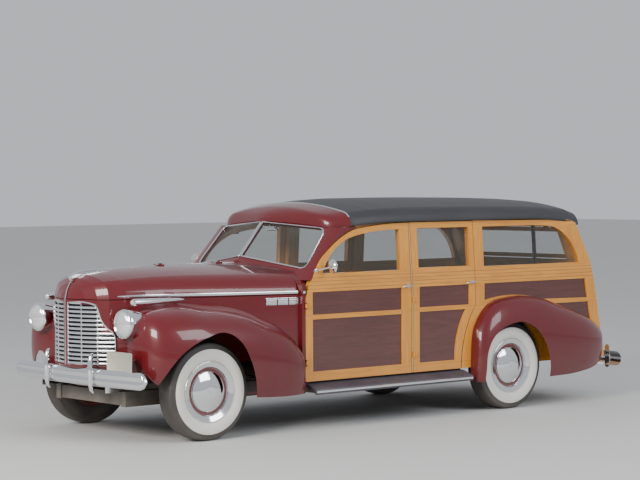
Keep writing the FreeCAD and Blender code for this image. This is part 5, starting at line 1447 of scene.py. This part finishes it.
piece("bare_plate", *skin(plate_rows, True, False), PLATE, "body", "chrome")
bracket = join([
    box((0.47, plate_centre.y + 0.001, 0.515), (0.68, plate_centre.y + 0.004, 0.535)),
    box((0.52, plate_centre.y + 0.001, 0.47), (0.55, plate_centre.y + 0.020, 0.60)),
    box((0.60, plate_centre.y + 0.001, 0.47), (0.62, plate_centre.y + 0.020, 0.60)),
])
piece("plate_bracket", *bracket, CHASSIS_PAINT, "body", "chassis_black")
print("plate loops:", len(plate_rows))

# %% [markdown]
# The tailgate is an ash frame round two veneered panels. Thin boards lie on it, found by rays because the
# gate leans, and an ash bead runs round each, as the joiner would pin it.

# %% Tailgate panels
def gate_point(across, height, proud):
    """A point on the tailgate's outer face, or proud of it."""
    y = surface("tailgate", (across, 4, height), (0, -1, 0)).y
    return Vector((across, y + proud, height))


gate_boards, beads = [], []
for low_x, high_x in ((0.050, 0.520), (-0.520, -0.050)):
    corners = [(low_x, 0.650), (high_x, 0.650), (high_x, 1.080), (low_x, 1.080)]
    outer = [gate_point(x, z, 0.0015) for x, z in corners]
    inner = [gate_point(x, z, -0.001) for x, z in corners]
    gate_boards.append(skin([inner, outer], True, False))
    bead_path = [point + Vector((0, 0.001, 0)) for point in outer]
    beads.append(sweep(bead_path, ring_section(0.005, 6), BACK, closed=True))
piece("tailgate_boards", *join(gate_boards), VENEER, "tailgate", "dark_panel")
piece("tailgate_beads", *join(beads), ASH, "tailgate", "varnished_wood")
print("tailgate boards:", len(gate_boards))

# %% [markdown]
# The instrument panel carries two round dials with bright rims and pale faces, without figures. Rays find
# where the panel's face lies in front of the driver.

# %% Dials
RIM_PROFILE = [(-0.004, 0.050), (0.008, 0.050), (0.010, 0.045), (0.004, 0.042)]
FACE_PROFILE = [(0.0, 0.043), (0.003, 0.043), (0.0035, 0.001)]
dial_rims, faces_of_dials = [], []
for across in (0.29, 0.45):
    point = surface("dashboard", (across, station(1.4), 1.105), (0, -1, 0))
    if point:
        dial_rims.append(lathe(RIM_PROFILE, point, BACK, 32))
        faces_of_dials.append(lathe(FACE_PROFILE, point, BACK, 32))
piece("dial_rims", *join(dial_rims), CHROME, "body", "chrome")
DIAL_FACE = veneer("dial_face", (0.50, 0.47, 0.38, 1), (0.42, 0.38, 0.28, 1))
piece("dial_faces", *join(faces_of_dials), DIAL_FACE, "body", "dash_brown")
print("dials:", len(dial_rims))

# %% [markdown]
# The inside mirror hangs from the header on a short stem. Its head is an oblong with well-rounded ends: a
# circle whose cosine and sine are raised to a power, which pushes it out towards its corners.

# %% Inside mirror
HEAD_LOOPS = ((-0.014, 0.5), (-0.008, 0.96), (0.0, 1.0), (0.002, 0.97))


def squared(value, power):
    """A cosine or sine pushed towards one, with its sign kept."""
    return math.copysign(abs(value) ** power, value)


mirror_at = Vector((0.0, station(1.235), 1.500))
head_rows = []
for shift, size in HEAD_LOOPS:
    loop = []
    for step in range(24):
        angle = math.pi * 2 * step / 24
        x, z = 0.095 * squared(math.cos(angle), 0.4) * size, 0.026 * squared(math.sin(angle), 0.6) * size
        loop.append(mirror_at + Vector((x, shift, z)))
    head_rows.append(loop)
stem_path = [mirror_at + Vector((0, back, up)) for back, up in ((-0.012, 0), (-0.018, 0.030), (-0.020, 0.075))]
stem = sweep(stem_path, ring_section(0.006, 8), BACK)
piece("inside_mirror", *join([skin(head_rows, True, False), stem]), CHROME, "body", "chrome")
print("mirror hangs at", tuple(round(v, 3) for v in mirror_at))

# %% [markdown]
# Seats are sprung cushions under pleated leather. Each starts from the CAD seat, which only gives its size
# and place. A remesh gives it even faces, every point is drawn in a little, and its edges are smoothed.

# %% Start of a seat
VOXEL, DRAWN_IN = 0.016, 0.014


def evaluated(made):
    """The mesh of an object with its modifiers applied."""
    graph = bpy.context.evaluated_depsgraph_get()
    return bpy.data.meshes.new_from_object(made.evaluated_get(graph))


def seat_start(name):
    """An even, slightly smaller copy of a CAD seat, ready to swell."""
    mesh = NODES[name].data.copy()
    made = bpy.data.objects.new(name + "_cushion", mesh)
    bpy.context.scene.collection.objects.link(made)
    remesh = made.modifiers.new("even", "REMESH")
    remesh.mode = "VOXEL"
    remesh.voxel_size = VOXEL
    mesh = evaluated(made)
    made.modifiers.clear()
    made.data = mesh
    drawn = [v.co - v.normal * DRAWN_IN for v in mesh.vertices]
    for vertex, place in zip(mesh.vertices, drawn):
        vertex.co = place
    smooth = made.modifiers.new("round", "SMOOTH")
    smooth.iterations = 4
    mesh = evaluated(made)
    made.modifiers.clear()
    made.data = mesh
    return made


cushions = [seat_start(name) for name in SEATS]
print("seat points:", [len(made.data.vertices) for made in cushions])

# %% [markdown]
# Padding pushes the leather out from inside. The cloth solver does the same with pressure while the base
# is held, and it crowns the faces and pulls the corners in. Each point's travel is capped, so that the
# seat stays in its own space.

# %% Swell the cushions
PRESSURE, MOMENTS, MOST_TRAVEL, HELD_HEIGHT = 4.0, 20, 0.012, 0.05


def swell(seats):
    """Cloth pressure on all seats together, with their bases held and their travel capped."""
    rest = {}
    for made in seats:
        rest[made.name] = [v.co.copy() for v in made.data.vertices]
        low = min(v.z for v in rest[made.name])
        held = made.vertex_groups.new(name="held")
        held.add([i for i, v in enumerate(rest[made.name]) if v.z < low + HELD_HEIGHT], 1.0, "REPLACE")
        cloth = made.modifiers.new("Cloth", "CLOTH")
        cloth.settings.use_pressure = True
        cloth.settings.uniform_pressure_force = PRESSURE
        cloth.settings.effector_weights.gravity = 0.0
        cloth.settings.vertex_group_mass = "held"
        cloth.settings.quality = 3
        cloth.point_cache.frame_start, cloth.point_cache.frame_end = 1, MOMENTS
    for moment in range(1, MOMENTS + 1):
        bpy.context.scene.frame_set(moment)
    for made in seats:
        blown = evaluated(made)
        made.modifiers.clear()
        for vertex, start, end in zip(made.data.vertices, rest[made.name], blown.vertices):
            travel = end.co - start
            reach = min(travel.length, MOST_TRAVEL)
            vertex.co = start + (travel.normalized() * reach if travel.length > 0 else travel)
        bpy.data.meshes.remove(blown)
    bpy.context.scene.frame_set(1)


swell(cushions)
print("cushion heights:", [round(made.dimensions.z, 3) for made in cushions])

# %% [markdown]
# Sewn pleats run from front to back and up the backrest. They are pressed into the faces that are sat on,
# as narrow grooves between broad rolls, by a sharp power of a zigzag across the seat.

# %% Pleats and hand-over of the seats
PLEAT, PLEAT_DEPTH, PLAIN_SIDE = 0.085, 0.007, 0.10


def press_pleats(made, half_width):
    """Sewn channels along the sitting faces."""
    mesh = made.data
    for vertex in mesh.vertices:
        sits = max(vertex.normal.z, -vertex.normal.y)
        if sits > 0.5 and abs(vertex.co.x) < half_width - PLAIN_SIDE and vertex.co.z > 0.5:
            share = abs((vertex.co.x / PLEAT) % 1 - 0.5) * 2
            vertex.co -= vertex.normal * (PLEAT_DEPTH * share ** 4)


for name, made in zip(SEATS, cushions):
    press_pleats(made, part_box(name)[1][0])
    made.data.materials.clear()
    made.data.materials.append(RED_LEATHER)
    made.data.shade_smooth()
    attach(made, "body")
    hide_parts(name)
    print(name, len(made.data.vertices), "points")

# %% [markdown]
# The studio is a plain pale floor under a pale sky, so that nothing in it draws the eye from the car. The
# floor has a faint cloud.

# %% Floor and sky
def studio():
    """The floor, and a sky that lights softly from all round."""
    floor_finish, tree, shader, place = new_material("studio_floor")
    cloud = add(tree, "TexNoise", {"Vector": place, "Scale": 1.5}).outputs[0]
    tree.links.new(blend(tree, cloud, (0.60, 0.60, 0.59, 1), (0.64, 0.64, 0.63, 1)), shader.inputs["Base Color"])
    shader.inputs["Roughness"].default_value = 0.8
    mesh = bpy.data.meshes.new("studio_floor")
    mesh.from_pydata([(-60, -60, 0), (60, -60, 0), (60, 60, 0), (-60, 60, 0)], [], [(0, 1, 2, 3)])
    mesh.materials.append(floor_finish)
    floor = bpy.data.objects.new("studio_floor", mesh)
    bpy.context.scene.collection.objects.link(floor)
    world = bpy.data.worlds.new("studio_sky")
    world.use_nodes = True
    sky = world.node_tree.nodes["Background"]
    sky.inputs["Color"].default_value = (0.78, 0.81, 0.86, 1)
    sky.inputs["Strength"].default_value = 0.75
    bpy.context.scene.world = world


studio()
print("floor and sky set")

# %% [markdown]
# Two large soft lights stand as the low sun and the open sky do in the photograph: a warm one ahead of the
# car and a cooler, weaker one at its side. Their size keeps the shadows' edges soft.

# %% Lights
def soft_light(name, place, target, size, power, colour):
    """A large oblong light that looks at a target."""
    data = bpy.data.lights.new(name, "AREA")
    data.shape = "RECTANGLE"
    data.size, data.size_y = size
    data.energy = power
    data.color = colour
    lamp = bpy.data.objects.new(name, data)
    lamp.location = place
    lamp.rotation_euler = (Vector(target) - Vector(place)).to_track_quat("-Z", "Y").to_euler()
    bpy.context.scene.collection.objects.link(lamp)


soft_light("key_light", (3.5, -12.0, 6.0), (0, -0.5, 0.6), (5, 4), 1500, (1.0, 0.95, 0.88))
soft_light("side_light", (11.0, 3.0, 7.0), (0, 0.5, 0.8), (7, 5), 700, (0.92, 0.96, 1.0))
print("lights set:", len(bpy.data.lights))

# %% [markdown]
# The camera was solved from the wheelbase and the wheels in the photograph. It stands far off with a long
# lens, and it leans by a fraction of a degree. Its three turns are made into one matrix.

# %% Camera
YAW, PITCH, ROLL = -0.8651, -0.0294, -0.0053
SENSOR, FOCAL_PIXELS, PHOTO_WIDTH = 36, 2035.94, 640


def camera():
    """The photograph's camera."""
    ahead = Vector((math.sin(YAW) * math.cos(PITCH), math.cos(YAW) * math.cos(PITCH), math.sin(PITCH)))
    right = ahead.cross(Vector((0, 0, 1))).normalized()
    up = right.cross(ahead)
    right_rolled = right * math.cos(ROLL) + up * math.sin(ROLL)
    up_rolled = up * math.cos(ROLL) - right * math.sin(ROLL)
    turn = Matrix((right_rolled, up_rolled, -ahead)).transposed().to_4x4()
    data = bpy.data.cameras.new("photo_camera")
    data.sensor_width = SENSOR
    data.lens = FOCAL_PIXELS * SENSOR / PHOTO_WIDTH
    data.clip_end = 200
    made = bpy.data.objects.new("photo_camera", data)
    made.matrix_world = Matrix.Translation((12.4342, -8.8522 + FRONT_AXLE, 1.8711)) @ turn
    bpy.context.scene.collection.objects.link(made)
    bpy.context.scene.camera = made


camera()
print("camera lens:", round(bpy.context.scene.camera.data.lens, 1), "mm")
